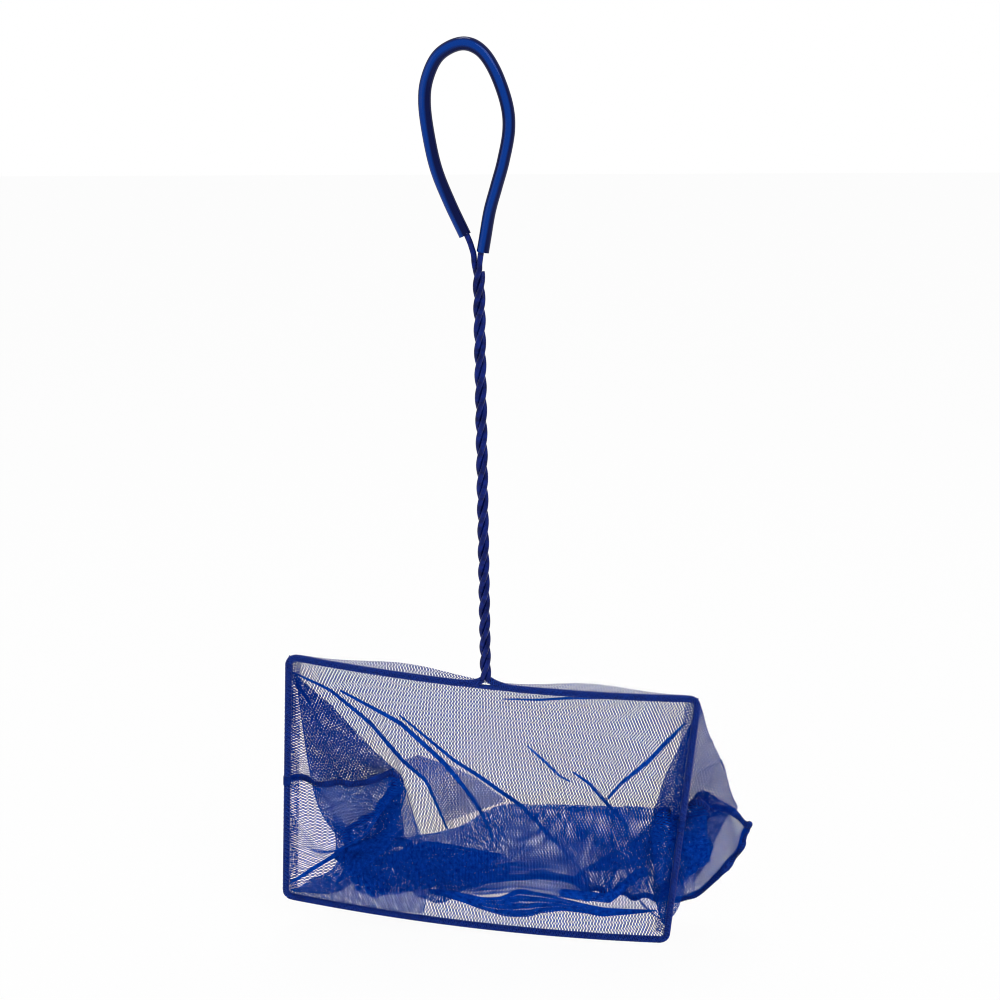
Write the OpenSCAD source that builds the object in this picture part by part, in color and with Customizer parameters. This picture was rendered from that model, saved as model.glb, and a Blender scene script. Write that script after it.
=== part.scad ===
// Aquarium fish net: one length of coated wire, bent into a hoop at its middle and twisted
// into a handle that ends in a finger loop under a soft sleeve, with a bag of two net panels
// hemmed round the hoop. +Z runs up along the handle, +X to the right, and the bag lies
// folded behind the hoop, towards +Y. The origin is where a hook bears in the loop.

/* [Hoop] */
// Width of the hoop between the side rails, at the wire's centre
hoop_w = 250; // [180:1:320]
// Height of the hoop between its corners, at the wire's centre
hoop_h = 175; // [120:1:240]
// Diameter of the wire over its coating
wire_d = 3.2; // [2.4:0.1:4.4]
// Bend radius of the hoop's corners, at the wire's centre
corner_r = 5; // [3:0.5:14]
// How far the top and bottom rails bow down in the middle
rail_bow = 6; // [2:0.5:14]
// Angle by which the hoop hangs low on its right, in degrees
hoop_skew = 4.5; // [0:0.5:7]
// How far the hoop's middle stands to the right of the handle
hoop_shift = 3; // [0:0.5:8]

/* [Handle] */
// Height of the vee in which the two ends of the hoop rise to the handle
vee_h = 12; // [9:0.5:18]
// Reach of each arm of the vee along the top rail
vee_w = 22; // [16:0.5:34]
// Length of the twisted part
twist_len = 246; // [160:1:330]
// Half turns of each strand about the other
half_turns = 19; // [11:1:27]
// Gap that the coatings leave between the two strands
strand_gap = 0.06; // [0.02:0.01:0.2]

/* [Finger loop] */
// Width of the loop between the wire's centres
loop_w = 43; // [36:0.5:60]
// Length of the loop from the end of the twist to its top, at the wire's centre
loop_len = 110.5; // [92:0.5:140]
// Angle by which the loop leans to the left, in degrees
loop_lean = 3; // [0:0.5:5]
// Gap between the two cut ends of the wire, inside the sleeve
wire_end_gap = 1.2; // [0.6:0.1:4]

/* [Sleeve] */
// Outer diameter of the soft sleeve
sleeve_d = 7; // [6.2:0.1:9]
// Wall of the sleeve
sleeve_wall = 0.8; // [0.5:0.1:1]
// Bare wire between the end of the twist and the sleeve's left end
sleeve_bare_left = 12; // [10:0.5:20]
// Bare wire between the end of the twist and the sleeve's right end
sleeve_bare_right = 8.5; // [8:0.5:20]

/* [Hem] */
// Thickness of the net that is wrapped round the wire
hem_wall = 0.4; // [0.3:0.05:0.8]
// Clearance of the hem round the wire
hem_clear = 0.12; // [0.05:0.01:0.2]
// Length of the bar tack that binds each side seam to its rail
tack_len = 6; // [4:0.5:10]
// Wall of the bar tack over the hem's own
tack_wall = 0.5; // [0.2:0.1:1]

/* [Bag] */
// Cut depth of both panels, from the hem to the end seam
bag_depth = 150; // [120:1:180]
// Thickness of a panel
net_t = 0.6; // [0.4:0.1:0.8]
// Thickness of the overlocked seam
seam_d = 3.2; // [2.4:0.1:4]
// How far behind the hoop the end seam lies
bag_y = 17; // [14:0.5:30]
// How far the upper panel sags back in its middle
upper_sag = 7; // [3:0.5:9]
// Distance between the two layers at the lower panel's top fold
fold_gap = 4; // [3:0.5:6]

/* [Hidden] */

// Facets: sides of a turned piece, of a swept wire and of a seam
round_fn = 48;
wire_sides = 10;
seam_sides = 6;
// Rings along the parts of a swept wire: each arm of the vee, each half turn of the twist,
// a side arc and half the top of the loop, each half rail, a corner
vee_rings = 9;
half_turn_rings = 5;
side_rings = 12;
top_rings = 9;
rail_rings = 5;
corner_rings = 5;
// Cells of a panel along a side rail's half and along a whole rail, and along the depth of the
// upper and the lower panel
side_cols = 5;
rail_cols = 14;
net_cols = rail_cols + 2 * side_cols;
upper_rows = 12;
lower_rows = 20;
// Clearance between soft pieces and what they lie against
soft_clear = 0.3;

// Hoop: the circle on which the top rail lies, and the same one lowered for the bottom rail
bow_r = (pow(hoop_w / 2, 2) + pow(rail_bow, 2)) / (2 * rail_bow);
// Height of the side rails' middle, where the seams start
seam_z = rail_bow - hoop_h / 2;
half_w = hoop_w / 2;
// Centres of the corner bends: tangent to a side rail and to the rail above or below
corner_x = half_w - corner_r;
top_corner_z = bow_r - sqrt(pow(bow_r + corner_r, 2) - pow(corner_x, 2));
top_corner_a = asin(corner_x / (bow_r + corner_r));
low_corner_z = bow_r - hoop_h - sqrt(pow(bow_r - corner_r, 2) - pow(corner_x, 2));
low_corner_a = asin(corner_x / (bow_r - corner_r));
// Twist: a pair of helices
strand_r = (wire_d + strand_gap) / 2;
twist_top = vee_h + twist_len;

// Loop: a round top and two long side arcs that meet it where it is widest
loop_r = loop_w / 2;
loop_c = loop_len - loop_r;
// The side arcs come in to the strands' own offset at the loop's foot
foot_h = 4;
side_run = loop_c - foot_h;
side_in = loop_r - strand_r;
side_r = (pow(side_run, 2) + pow(side_in, 2)) / (2 * side_in);
// Over this height the arms leave the twist's front and back for the loop's plane
arm_blend = 12;

hem_r = wire_d / 2 + hem_clear + hem_wall;
tack_r = hem_r + tack_wall;
// The panels lie round the seams at this distance from their centres, with some room for
// where a seam runs aslant
slant_room = 0.8;
seam_off = seam_d / 2 + soft_clear + net_t / 2 + slant_room;
// The bag starts this far behind the wire's centre
mouth_y = tack_r + soft_clear;

// Where a hook bears: inside the loop's top, under the sleeve
hang = loop_point(loop_c + loop_r - sleeve_d / 2, 0);

// The seams' routes behind the hoop, seen from the front. Each row holds a place across and a
// place up, as shares of the hoop's width and height, and how far back, as a share of bag_y.
// From the left rail in to a bend, and back out to the bag's left corner
left_seam_shares = [[-0.5, -0.46, 0], [-0.44, -0.455, 0.14], [-0.37, -0.44, 0.2], [-0.3, -0.415, 0.25],
    [-0.232, -0.392, 0.3], [-0.222, -0.43, 0.53], [-0.24, -0.51, 0.65], [-0.27, -0.57, 0.76],
    [-0.3, -0.61, 0.86], [-0.325, -0.66, 0.94], [-0.33, -0.71, 1]];
// From the right rail out behind it to the bag's right corner
right_seam_shares = [[0.5, -0.46, 0], [0.513, -0.452, 0.08], [0.527, -0.443, 0.17], [0.542, -0.434, 0.26],
    [0.557, -0.425, 0.35], [0.573, -0.415, 0.46], [0.59, -0.405, 0.58], [0.608, -0.398, 0.7],
    [0.628, -0.395, 0.82], [0.648, -0.402, 0.92], [0.668, -0.425, 1]];
// From the left corner across the folded bag, round the flap to the right corner
end_seam_shares = [[-0.33, -0.71, 1], [-0.31, -0.79, 1], [-0.24, -0.82, 1], [-0.15, -0.83, 1],
    [-0.02, -0.84, 1], [0.12, -0.85, 1], [0.26, -0.87, 1], [0.35, -0.83, 1], [0.40, -0.79, 1],
    [0.46, -0.80, 1], [0.52, -0.81, 1], [0.585, -0.75, 1], [0.63, -0.65, 1], [0.66, -0.54, 1],
    [0.668, -0.425, 1]];
// Top fold of the lower panel between the two side seams
top_fold_shares = [[-0.232, -0.392, 0.3], [-0.20, -0.52, 0.3], [-0.15, -0.62, 0.3], [-0.08, -0.60, 0.3],
    [0.01, -0.53, 0.3], [0.1, -0.485, 0.3], [0.3, -0.46, 0.3], [0.42, -0.48, 0.3], [0.51, -0.49, 0.3],
    [0.557, -0.425, 0.35]];
// Shares of the lower panel's depth between which it folds over, points 4 and 5 of the side seams
fold_start = 0.4;
fold_end = 0.5;
// Along how much of the mouth the upper panel comes forward from the seams to the rails, and
// along how much of the top fold its two layers part from the seams
corner_share = 0.12;
// Along how much of the mouth the upper panel's sag builds up from each seam
sag_share = 0.06;

// Turns a point of the hoop's own plane, x and z about the handle's foot, into place
function hoop_point(x, z, y = 0) = let (u = x + hoop_shift)
    [u * cos(hoop_skew) + z * sin(hoop_skew), y, z * cos(hoop_skew) - u * sin(hoop_skew)];

// Height of the top rail's centre line at a distance from the hoop's middle
function bow_z(x) = bow_r - sqrt(pow(bow_r, 2) - pow(x, 2));

// Turns a point of the loop's plane, its height over the twist and its offset, into place
function loop_point(h, x, y = 0) =
    [x * cos(loop_lean) - h * sin(loop_lean), y, twist_top + x * sin(loop_lean) + h * cos(loop_lean)];

// Smooth step from 0 to 1
function ease(t) = let (s = min(1, max(0, t))) s * s * (3 - 2 * s);

// Point on the cubic that starts at p with slope m and ends at q with slope n
function hermite(p, m, q, n, t) = (2 * t * t * t - 3 * t * t + 1) * p + (t * t * t - 2 * t * t + t) * m
    + (3 * t * t - 2 * t * t * t) * q + (t * t * t - t * t) * n;

// Points of an arc in the plane of the hoop or the loop, from angle a0 to a1, both ends in
function arc(x, z, r, a0, a1, n) =
    [for (i = [0 : n]) let (a = a0 + (a1 - a0) * i / n) [x + r * cos(a), z + r * sin(a)]];

// Centre line of the hoop from the left arm of the vee, round by the left, to the right arm
function vee_x(side) = side * vee_w - hoop_shift;
function vee_angle(side) = asin(vee_x(side) / bow_r);
function placed_run(flat) = [for (p = flat) hoop_point(p[0], p[1])];
function upper_run(side) = placed_run(concat(
    arc(0, bow_r, bow_r, vee_angle(side) - 90, side * top_corner_a - 90, rail_rings),
    arc(side * corner_x, top_corner_z, corner_r, 90 - (side < 0 ? 1 : -1) * top_corner_a,
        side < 0 ? 180 : 0, corner_rings)));
function lower_run() = placed_run(concat(
    arc(-corner_x, low_corner_z, corner_r, 180, 270 - low_corner_a, corner_rings),
    arc(0, bow_r - hoop_h, bow_r, -90 - low_corner_a, -90 + low_corner_a, 2 * rail_rings),
    arc(corner_x, low_corner_z, corner_r, low_corner_a - 90, 0, corner_rings)));
function backwards(list) = [for (i = [len(list) - 1 : -1 : 0]) list[i]];
function hoop_route() = concat(upper_run(-1), lower_run(), backwards(upper_run(1)));
// Direction in which the rail runs at the vee, towards the handle
function vee_dir(side) = let (a = vee_angle(side))
    -side * (hoop_point(cos(a), sin(a)) - hoop_point(0, 0));

// Route of one wire from the hoop's end, up the vee, round the twist and up the loop.
// side is -1 for the wire that comes from the left rail and 1 for the other.
function helix_point(side, t) = let (a = 90 * side + 180 * half_turns * t)
    [strand_r * cos(a), strand_r * sin(a), vee_h + twist_len * t];
function vee_route(side) = let (
        foot = hoop_point(vee_x(side), bow_z(vee_x(side))),
        lift = twist_len / (PI * half_turns),
        up = unit([-strand_r * sin(90 * side), 0, lift]))
    [for (i = [0 : vee_rings - 1])
        hermite(foot, vee_dir(side) * vee_w, helix_point(side, 0), up * vee_w, i / vee_rings)];
function twist_route(side) = let (n = half_turn_rings * half_turns)
    [for (i = [0 : n]) helix_point(side, i / n)];
// Half width of the loop at a height over the twist, up to where it is widest
function loop_half(h) = h > foot_h ? loop_r - side_r + sqrt(pow(side_r, 2) - pow(loop_c - h, 2))
    : strand_r * h / foot_h;
// An arm of the loop on the left, -1, or the right, 1
function arm_route(arm) = let (last = 90 - asin(wire_end_gap / 2 / loop_r))
    concat([for (i = [1 : side_rings]) let (h = loop_c * i / side_rings)
            loop_point(h, arm * loop_half(h), -arm * strand_r * (1 - ease(h / arm_blend)))],
        [for (i = [1 : top_rings]) let (a = last * i / top_rings)
            loop_point(loop_c + loop_r * sin(a), arm * loop_r * cos(a))]);
// After an odd number of half turns the left rail's wire ends in the left arm
arm_swap = half_turns % 2 == 1 ? 1 : -1;
function wire_route(side) = concat(vee_route(side), twist_route(side), arm_route(side * arm_swap));
twist_last = vee_rings + half_turn_rings * half_turns;

// Ring of points round a route at index i; across is a direction that the route never takes
function unit(v) = v / norm(v);
function ring(route, i, r, sides, across, dir = undef) = let (
        last = len(route) - 1,
        t = is_undef(dir) ? unit(route[min(i + 1, last)] - route[max(i - 1, 0)]) : dir,
        a = unit(cross(across, t)),
        b = cross(t, a))
    [for (k = [0 : sides - 1]) route[i] + r * (cos(360 * k / sides) * a + sin(360 * k / sides) * b)];

// The two triangles of each cell of a wall between rings; turned round for an inner wall
function wall(rings, sides, base, inner) = [for (i = [0 : rings - 2], k = [0 : sides - 1]) let (
        p = base + i * sides + k,
        q = base + i * sides + (k + 1) % sides)
    each inner ? [[p, q, p + sides], [q, q + sides, p + sides]]
        : [[p, p + sides, q], [q, p + sides, q + sides]]];

// Round bar swept along a part of a route. head and tail are the directions of its end faces.
module rod(route, first, last, r, sides, across, head = undef, tail = undef) {
    points = [for (i = [first : last]) each ring(route, i, r, sides, across,
        i == first ? head : i == last ? tail : undef)];
    n = last - first;
    start_cap = [for (k = [1 : sides - 2]) [0, k, k + 1]];
    end_cap = [for (k = [1 : sides - 2]) [n * sides, n * sides + k + 1, n * sides + k]];
    polyhedron(points = points, faces = concat(wall(n + 1, sides, 0, false), start_cap, end_cap),
        convexity = 10);
}

// Tube of an outer and an inner radius along a whole route
module tube(route, outer, inner, sides, across) {
    rings = len(route);
    n = rings * sides;
    points = concat([for (i = [0 : rings - 1]) each ring(route, i, outer, sides, across)],
        [for (i = [0 : rings - 1]) each ring(route, i, inner, sides, across)]);
    ends = [for (base = [0, (rings - 1) * sides], k = [0 : sides - 1]) let (
            p = base + k,
            q = base + (k + 1) % sides)
        each base == 0 ? [[p, q, n + p], [q, n + q, n + p]] : [[p, n + p, q], [q, n + p, n + q]]];
    polyhedron(points = points, faces = concat(wall(rings, sides, 0, false),
        wall(rings, sides, n, true), ends), convexity = 10);
}

// Point at share t of a route whose points are evenly spaced, smoothed between them
function along(route, t) = let (
        last = len(route) - 1,
        s = t * last,
        i = min(floor(s), last - 1),
        f = s - i,
        p0 = route[max(i - 1, 0)], p1 = route[i], p2 = route[i + 1], p3 = route[min(i + 2, last)])
    hermite(p1, (p2 - p0) / 2, p2, (p3 - p1) / 2, f);

// Seams behind the hoop. A seam starts this far behind the wire's centre.
seam_y = mouth_y + net_t / 2 + seam_off;
function seam_route(shares) = [for (s = shares)
    hoop_point(s[0] * hoop_w, s[1] * hoop_h, seam_y + s[2] * bag_y)];
left_route = seam_route(left_seam_shares);
right_route = seam_route(right_seam_shares);
end_route = seam_route(end_seam_shares);
function end_point(u) = along(end_route, u);
function side_point(side, v) = along(side < 0 ? left_route : right_route, v);

// Edge of a panel's mouth, along the upper or the lower half of the hoop: 1 or -1
mouth_run = hoop_w + hoop_h;
function mouth_point(half, u) = let (
        s = u * mouth_run,
        side_len = hoop_h / 2,
        x = min(max(s - side_len, 0), hoop_w) - half_w,
        rise = min(side_len, min(s, mouth_run - s)),
        rail_z = half > 0 ? bow_z(x) : bow_z(x) - hoop_h,
        z = rise < side_len ? seam_z + half * rise : rail_z)
    hoop_point(x, z, mouth_y + net_t / 2);

// Sheet stretched between a near edge a, a far edge b and the side edges c and d
function stretched(a, b, c, d, a0, a1, b0, b1, u, t) = a * (1 - t) + b * t + c * (1 - u) + d * u
    - a0 * (1 - u) * (1 - t) - a1 * u * (1 - t) - b0 * (1 - u) * t - b1 * u * t;
function middle(u) = pow(sin(180 * u), 2);

// The upper panel hangs from the top rail to the end seam, behind the seams
behind = [0, seam_off, 0];
function high_mouth(u) = mouth_point(1, u) + 2 * behind * (1 - ease(min(u, 1 - u) / corner_share));
function high_point(u, v) = stretched(high_mouth(u), end_point(u) + behind, side_point(-1, v) + behind,
        side_point(1, v) + behind, high_mouth(0), high_mouth(1), end_point(0) + behind,
        end_point(1) + behind, u, v)
    + [0, upper_sag * ease(min(u, 1 - u) / sag_share) * 4 * v * (1 - v), 0];

// The lower panel rises from the bottom rail to its top fold, turns there and comes down
// behind itself to the end seam, in front of the upper panel
fold_route = seam_route(top_fold_shares);
function low_side(side, v) = side_point(side, v) - behind;
function fold_front(u) = along(fold_route, u) - behind;
function fold_step(u) = let (m = ease(min(u, 1 - u) / corner_share), side = u < 0.5 ? -1 : 1)
    m * fold_gap * [0, 1, 0] + (1 - m) * (side_point(side, fold_end) - side_point(side, fold_start));
function fold_back(u) = fold_front(u) + fold_step(u);
function low_front(u, t) = stretched(mouth_point(-1, u), fold_front(u), low_side(-1, t * fold_start),
    low_side(1, t * fold_start), mouth_point(-1, 0), mouth_point(-1, 1), fold_front(0), fold_front(1),
    u, t);
function low_turn(u, t) = fold_front(u) + t * fold_step(u)
    + fold_gap / 2 * sin(180 * t) * middle(u) * [0, 0, 1];
function low_rear(u, t) = let (v = fold_end + t * (1 - fold_end))
    stretched(fold_back(u), end_point(u) - behind, low_side(-1, v), low_side(1, v), fold_back(0),
        fold_back(1), end_point(0) - behind, end_point(1) - behind, u, t);
function low_point(u, v) = v < fold_start ? low_front(u, v / fold_start)
    : v < fold_end ? low_turn(u, (v - fold_start) / (fold_end - fold_start))
    : low_rear(u, (v - fold_end) / (1 - fold_end));

// Place of a column of cells along the mouth: columns stand at the hoop's corners
function column_share(i) = let (corner = hoop_h / 2 / mouth_run)
    i < side_cols ? corner * i / side_cols
    : i > net_cols - side_cols ? 1 - corner * (net_cols - i) / side_cols
    : corner + (1 - 2 * corner) * (i - side_cols) / rail_cols;

// Thin sheet with both faces and a rim
module sheet(half, net_rows) {
    cols = net_cols + 1;
    // The sheets stop just short of each other over the seams
    trim_u = soft_clear / mouth_run;
    trim_v = soft_clear / bag_depth;
    mid = [for (j = [0 : net_rows], i = [0 : net_cols]) let (
            u = trim_u + (1 - 2 * trim_u) * column_share(i),
            v = (1 - trim_v) * j / net_rows)
        half > 0 ? high_point(u, v) : low_point(u, v)];
    function at(i, j) = mid[min(max(j, 0), net_rows) * cols + min(max(i, 0), net_cols)];
    function normal(i, j) = unit(cross(at(i + 1, j) - at(i - 1, j), at(i, j + 1) - at(i, j - 1)));
    normals = [for (j = [0 : net_rows], i = [0 : net_cols]) normal(i, j)];
    n = len(mid);
    points = concat([for (k = [0 : n - 1]) mid[k] + normals[k] * net_t / 2],
        [for (k = [0 : n - 1]) mid[k] - normals[k] * net_t / 2]);
    faces = [for (j = [0 : net_rows - 1], i = [0 : net_cols - 1]) let (p = j * cols + i)
        each [[p, p + cols, p + 1], [p + 1, p + cols, p + cols + 1],
            [n + p, n + p + 1, n + p + cols], [n + p + 1, n + p + cols + 1, n + p + cols]]];
    rim = concat([for (i = [0 : net_cols]) i],
        [for (j = [1 : net_rows]) j * cols + net_cols],
        [for (i = [net_cols - 1 : -1 : 0]) net_rows * cols + i],
        [for (j = [net_rows - 1 : -1 : 1]) j * cols]);
    m = len(rim);
    edge = [for (k = [0 : m - 1]) let (p = rim[k], q = rim[(k + 1) % m])
        each [[p, q, n + p], [q, n + q, n + p]]];
    polyhedron(points = points, faces = concat(faces, edge), convexity = 10);
}

// Places what is drawn in the hoop's own plane
module in_hoop() {
    rotate([0, hoop_skew, 0]) translate([hoop_shift, 0, 0]) children();
}

module wrap_section(r) {
    difference() {
        circle(r = r, $fn = round_fn);
        circle(r = wire_d / 2 + hem_clear, $fn = round_fn);
    }
}

// The whole net, drawn with its origin at the handle's foot and moved to the hook's place
module placed() { translate(-hang) children(); }

// The wires' rings lie square to the route, and none of it runs along +Y
wire_across = [0, 1, 0];

module hoop_wire() {
    route = hoop_route();
    color([0.04, 0.10, 0.36]) placed()
        rod(route, 0, len(route) - 1, wire_d / 2, wire_sides, wire_across, -vee_dir(-1), vee_dir(1));
}

module twist_strand(side) {
    color([0.05, 0.12, 0.42]) placed()
        rod(wire_route(side), 0, twist_last, wire_d / 2, wire_sides, wire_across, vee_dir(side));
}
module twist_strand_left() { twist_strand(-1); }
module twist_strand_right() { twist_strand(1); }

module loop_arm(arm) {
    route = wire_route(arm * arm_swap);
    color([0.05, 0.12, 0.42]) placed()
        rod(route, twist_last, len(route) - 1, wire_d / 2, wire_sides, wire_across);
}
module loop_arm_left() { loop_arm(-1); }
module loop_arm_right() { loop_arm(1); }

// The sleeve's own route keeps to the loop's plane
function sleeve_side(arm, bare) = [for (i = [0 : side_rings])
    let (h = bare + (loop_c - bare) * i / side_rings) loop_point(h, arm * loop_half(h))];
module grip_sleeve() {
    over = [for (p = arc(0, loop_c, loop_r, 180, 0, 2 * top_rings)) loop_point(p[1], p[0])];
    route = concat(sleeve_side(-1, sleeve_bare_left), [for (i = [1 : len(over) - 2]) over[i]],
        backwards(sleeve_side(1, sleeve_bare_right)));
    color([0.02, 0.22, 0.62]) placed()
        tube(route, sleeve_d / 2, sleeve_d / 2 - sleeve_wall, wire_sides, wire_across);
}

// Point on a side rail, at a height from the seams' start
function rail_point(side, h) = hoop_point(side * half_w, seam_z + h);
hem_end = tack_len / 2 + soft_clear;
module hem(route) {
    color([0.08, 0.24, 0.70]) placed()
        tube(route, hem_r, wire_d / 2 + hem_clear, wire_sides, wire_across);
}
module upper_hem_left() { hem(concat(upper_run(-1), [rail_point(-1, hem_end)])); }
module upper_hem_right() { hem(concat(upper_run(1), [rail_point(1, hem_end)])); }
module lower_hem() {
    hem(concat([rail_point(-1, -hem_end)], lower_run(), [rail_point(1, -hem_end)]));
}

module seam_tack(side) {
    color([0.03, 0.10, 0.40]) placed() in_hoop()
        translate([side * half_w, 0, seam_z - tack_len / 2]) linear_extrude(tack_len) wrap_section(tack_r);
}
module seam_tack_left() { seam_tack(-1); }
module seam_tack_right() { seam_tack(1); }

module upper_panel() { color([0.20, 0.34, 0.72]) placed() sheet(1, upper_rows); }
module lower_panel() { color([0.16, 0.30, 0.68]) placed() sheet(-1, lower_rows); }

seam_steps = 18;
end_steps = 44;
module side_seam(side) {
    route = [for (i = [0 : seam_steps]) side_point(side, i / seam_steps)];
    color([0.03, 0.10, 0.40]) placed() rod(route, 0, seam_steps - 1, seam_d / 2, seam_sides, [0, 0, 1]);
}
module side_seam_left() { side_seam(-1); }
module side_seam_right() { side_seam(1); }
module end_seam() {
    route = [for (i = [0 : end_steps]) end_point(i / end_steps)];
    color([0.03, 0.10, 0.40]) placed() rod(route, 0, end_steps, seam_d / 2, seam_sides, [0, 0, 1]);
}

hoop_wire();
twist_strand_left();
twist_strand_right();
loop_arm_left();
loop_arm_right();
grip_sleeve();
upper_hem_left();
upper_hem_right();
lower_hem();
upper_panel();
lower_panel();
side_seam_left();
side_seam_right();
end_seam();
seam_tack_left();
seam_tack_right();
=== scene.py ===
"""Aquarium fish net, dressed: the bent wire, its sleeve, and the mesh bag folded behind the hoop."""

import logging
import math
from collections.abc import Callable
from dataclasses import dataclass, field
from enum import Enum
from functools import partial

import bpy
import numpy as np
from mathutils import Matrix, Vector


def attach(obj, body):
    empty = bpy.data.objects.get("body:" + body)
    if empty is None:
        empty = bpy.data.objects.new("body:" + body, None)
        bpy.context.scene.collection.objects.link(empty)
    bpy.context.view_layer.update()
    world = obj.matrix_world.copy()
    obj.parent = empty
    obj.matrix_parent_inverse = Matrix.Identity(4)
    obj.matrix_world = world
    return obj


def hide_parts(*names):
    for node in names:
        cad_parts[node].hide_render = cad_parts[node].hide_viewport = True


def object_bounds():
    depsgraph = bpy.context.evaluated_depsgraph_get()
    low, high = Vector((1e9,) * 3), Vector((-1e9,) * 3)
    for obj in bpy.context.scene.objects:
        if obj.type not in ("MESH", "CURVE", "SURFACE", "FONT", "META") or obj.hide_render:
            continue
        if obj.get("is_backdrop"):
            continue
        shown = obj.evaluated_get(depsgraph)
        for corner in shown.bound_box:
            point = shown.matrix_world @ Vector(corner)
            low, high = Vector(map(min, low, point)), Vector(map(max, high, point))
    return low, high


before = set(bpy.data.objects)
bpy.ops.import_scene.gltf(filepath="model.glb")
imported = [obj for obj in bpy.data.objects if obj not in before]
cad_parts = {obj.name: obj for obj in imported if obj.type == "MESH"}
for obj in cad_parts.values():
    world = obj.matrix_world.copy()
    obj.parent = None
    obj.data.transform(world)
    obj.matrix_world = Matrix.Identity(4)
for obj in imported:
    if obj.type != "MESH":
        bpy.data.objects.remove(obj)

LOG = logging.getLogger("fish_net")
# A millimetre in metres, the least length that anything is divided by, and the share of its
# radius to which a bar's closed end runs in
MM = 0.001
TINY = 1e-9
POLE = 0.02
BACK = np.array([0.0, 1.0, 0.0])
Array = np.ndarray
Patch = Callable[[Array, Array], Array]


class Panel(Enum):
    """The bag's two panels, by the half of the hoop that each hangs from."""

    UPPER = 1
    LOWER = -1


# places and surfaces


def dress(piece: bpy.types.Object, slot: str, *nodes: str) -> bpy.types.Object:
    """Lets a piece ride on the net's only body and stand for CAD nodes.

    Args:
        piece: the piece.
        slot: the record's material slot; not used.
        nodes: the CAD nodes that it replaces.

    Returns:
        The same piece.
    """
    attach(piece, "root")
    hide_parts(*nodes)
    return piece


def unit(v: Array) -> Array:
    """Vectors of length one, along the last axis."""
    return v / np.maximum(np.linalg.norm(v, axis=-1, keepdims=True), TINY)


def ease(t: Array) -> Array:
    """Smooth step from 0 to 1: 3 t^2 - 2 t^3."""
    s = np.clip(t, 0.0, 1.0)
    return s * s * (3 - 2 * s)


def run_along(line: Array) -> Array:
    """Distance along a polyline at each of its points, from 0."""
    return np.concatenate([[0.0], np.cumsum(np.linalg.norm(np.diff(line, axis=0), axis=1))])


def length_of(line: Array) -> float:
    """A polyline's length."""
    return float(np.linalg.norm(np.diff(line, axis=0), axis=1).sum())


def averaged(values: Array, n: int) -> Array:
    """Running mean of n values in a row, with the end values repeated beyond both ends."""
    return np.convolve(np.pad(values, n // 2, mode="edge"), np.ones(n) / n, "valid")


def spaced(line: Array, n: int) -> Array:
    """Points at even distances along a polyline.

    Args:
        line: the polyline's points, one a row.
        n: how many points to return.

    Returns:
        n points; each lies at its share of the line's length, on the chord where it falls.
    """
    run = run_along(line)
    at = np.linspace(0, run[-1], n)
    return np.stack([np.interp(at, run, line[:, k]) for k in range(3)], -1)


def square_to(route: Array, across: Array) -> tuple[Array, Array]:
    """Two directions square to a route at each of its points.

    Args:
        route: centre line, one point a row.
        across: a direction, or one for each point, that the route never takes.

    Returns:
        The side, square to the route and to across, and the up, square to the route and the side.
    """
    along = unit(np.gradient(route, axis=0))
    side = unit(np.cross(np.broadcast_to(across, route.shape), along))
    return side, np.cross(along, side)


@dataclass
class Surface:
    """A mesh worked out as arrays: points, faces of one size, and a place on the map for each corner."""

    points: Array
    faces: Array
    uv: Array

    @staticmethod
    def joined(parts: list["Surface"]) -> "Surface":
        """Several surfaces as one, each one's faces counted on from the points before them.

        Args:
            parts: the surfaces, with faces of the same size.

        Returns:
            One surface.
        """
        before = np.cumsum([0] + [len(part.points) for part in parts[:-1]])
        return Surface(np.vstack([part.points for part in parts]),
                       np.vstack([part.faces + count for part, count in zip(parts, before)]),
                       np.vstack([part.uv for part in parts]))

    def piece(self, name: str, material: bpy.types.Material, smooth: bool = True) -> bpy.types.Object:
        """Makes the Blender object.

        Args:
            name: the piece's name.
            material: its only material.
            smooth: whether its faces shade into each other.

        Returns:
            The object, at the origin, with its points given in millimetres put down in metres.
        """
        mesh = bpy.data.meshes.new(name)
        count, corners = self.faces.shape
        mesh.vertices.add(len(self.points))
        mesh.vertices.foreach_set("co", (self.points * MM).astype(np.float32).ravel())
        mesh.loops.add(count * corners)
        mesh.loops.foreach_set("vertex_index", self.faces.astype(np.int32).ravel())
        mesh.polygons.add(count)
        mesh.polygons.foreach_set("loop_start", np.arange(0, count * corners, corners, dtype=np.int32))
        mesh.polygons.foreach_set("use_smooth", np.full(count, smooth))
        layer = mesh.uv_layers.new(name="OFBake")
        layer.data.foreach_set("uv", self.uv[self.faces.ravel()].astype(np.float32).ravel())
        mesh.materials.append(material)
        mesh.update(calc_edges=True)
        thing = bpy.data.objects.new(name, mesh)
        bpy.context.scene.collection.objects.link(thing)
        return thing


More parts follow.
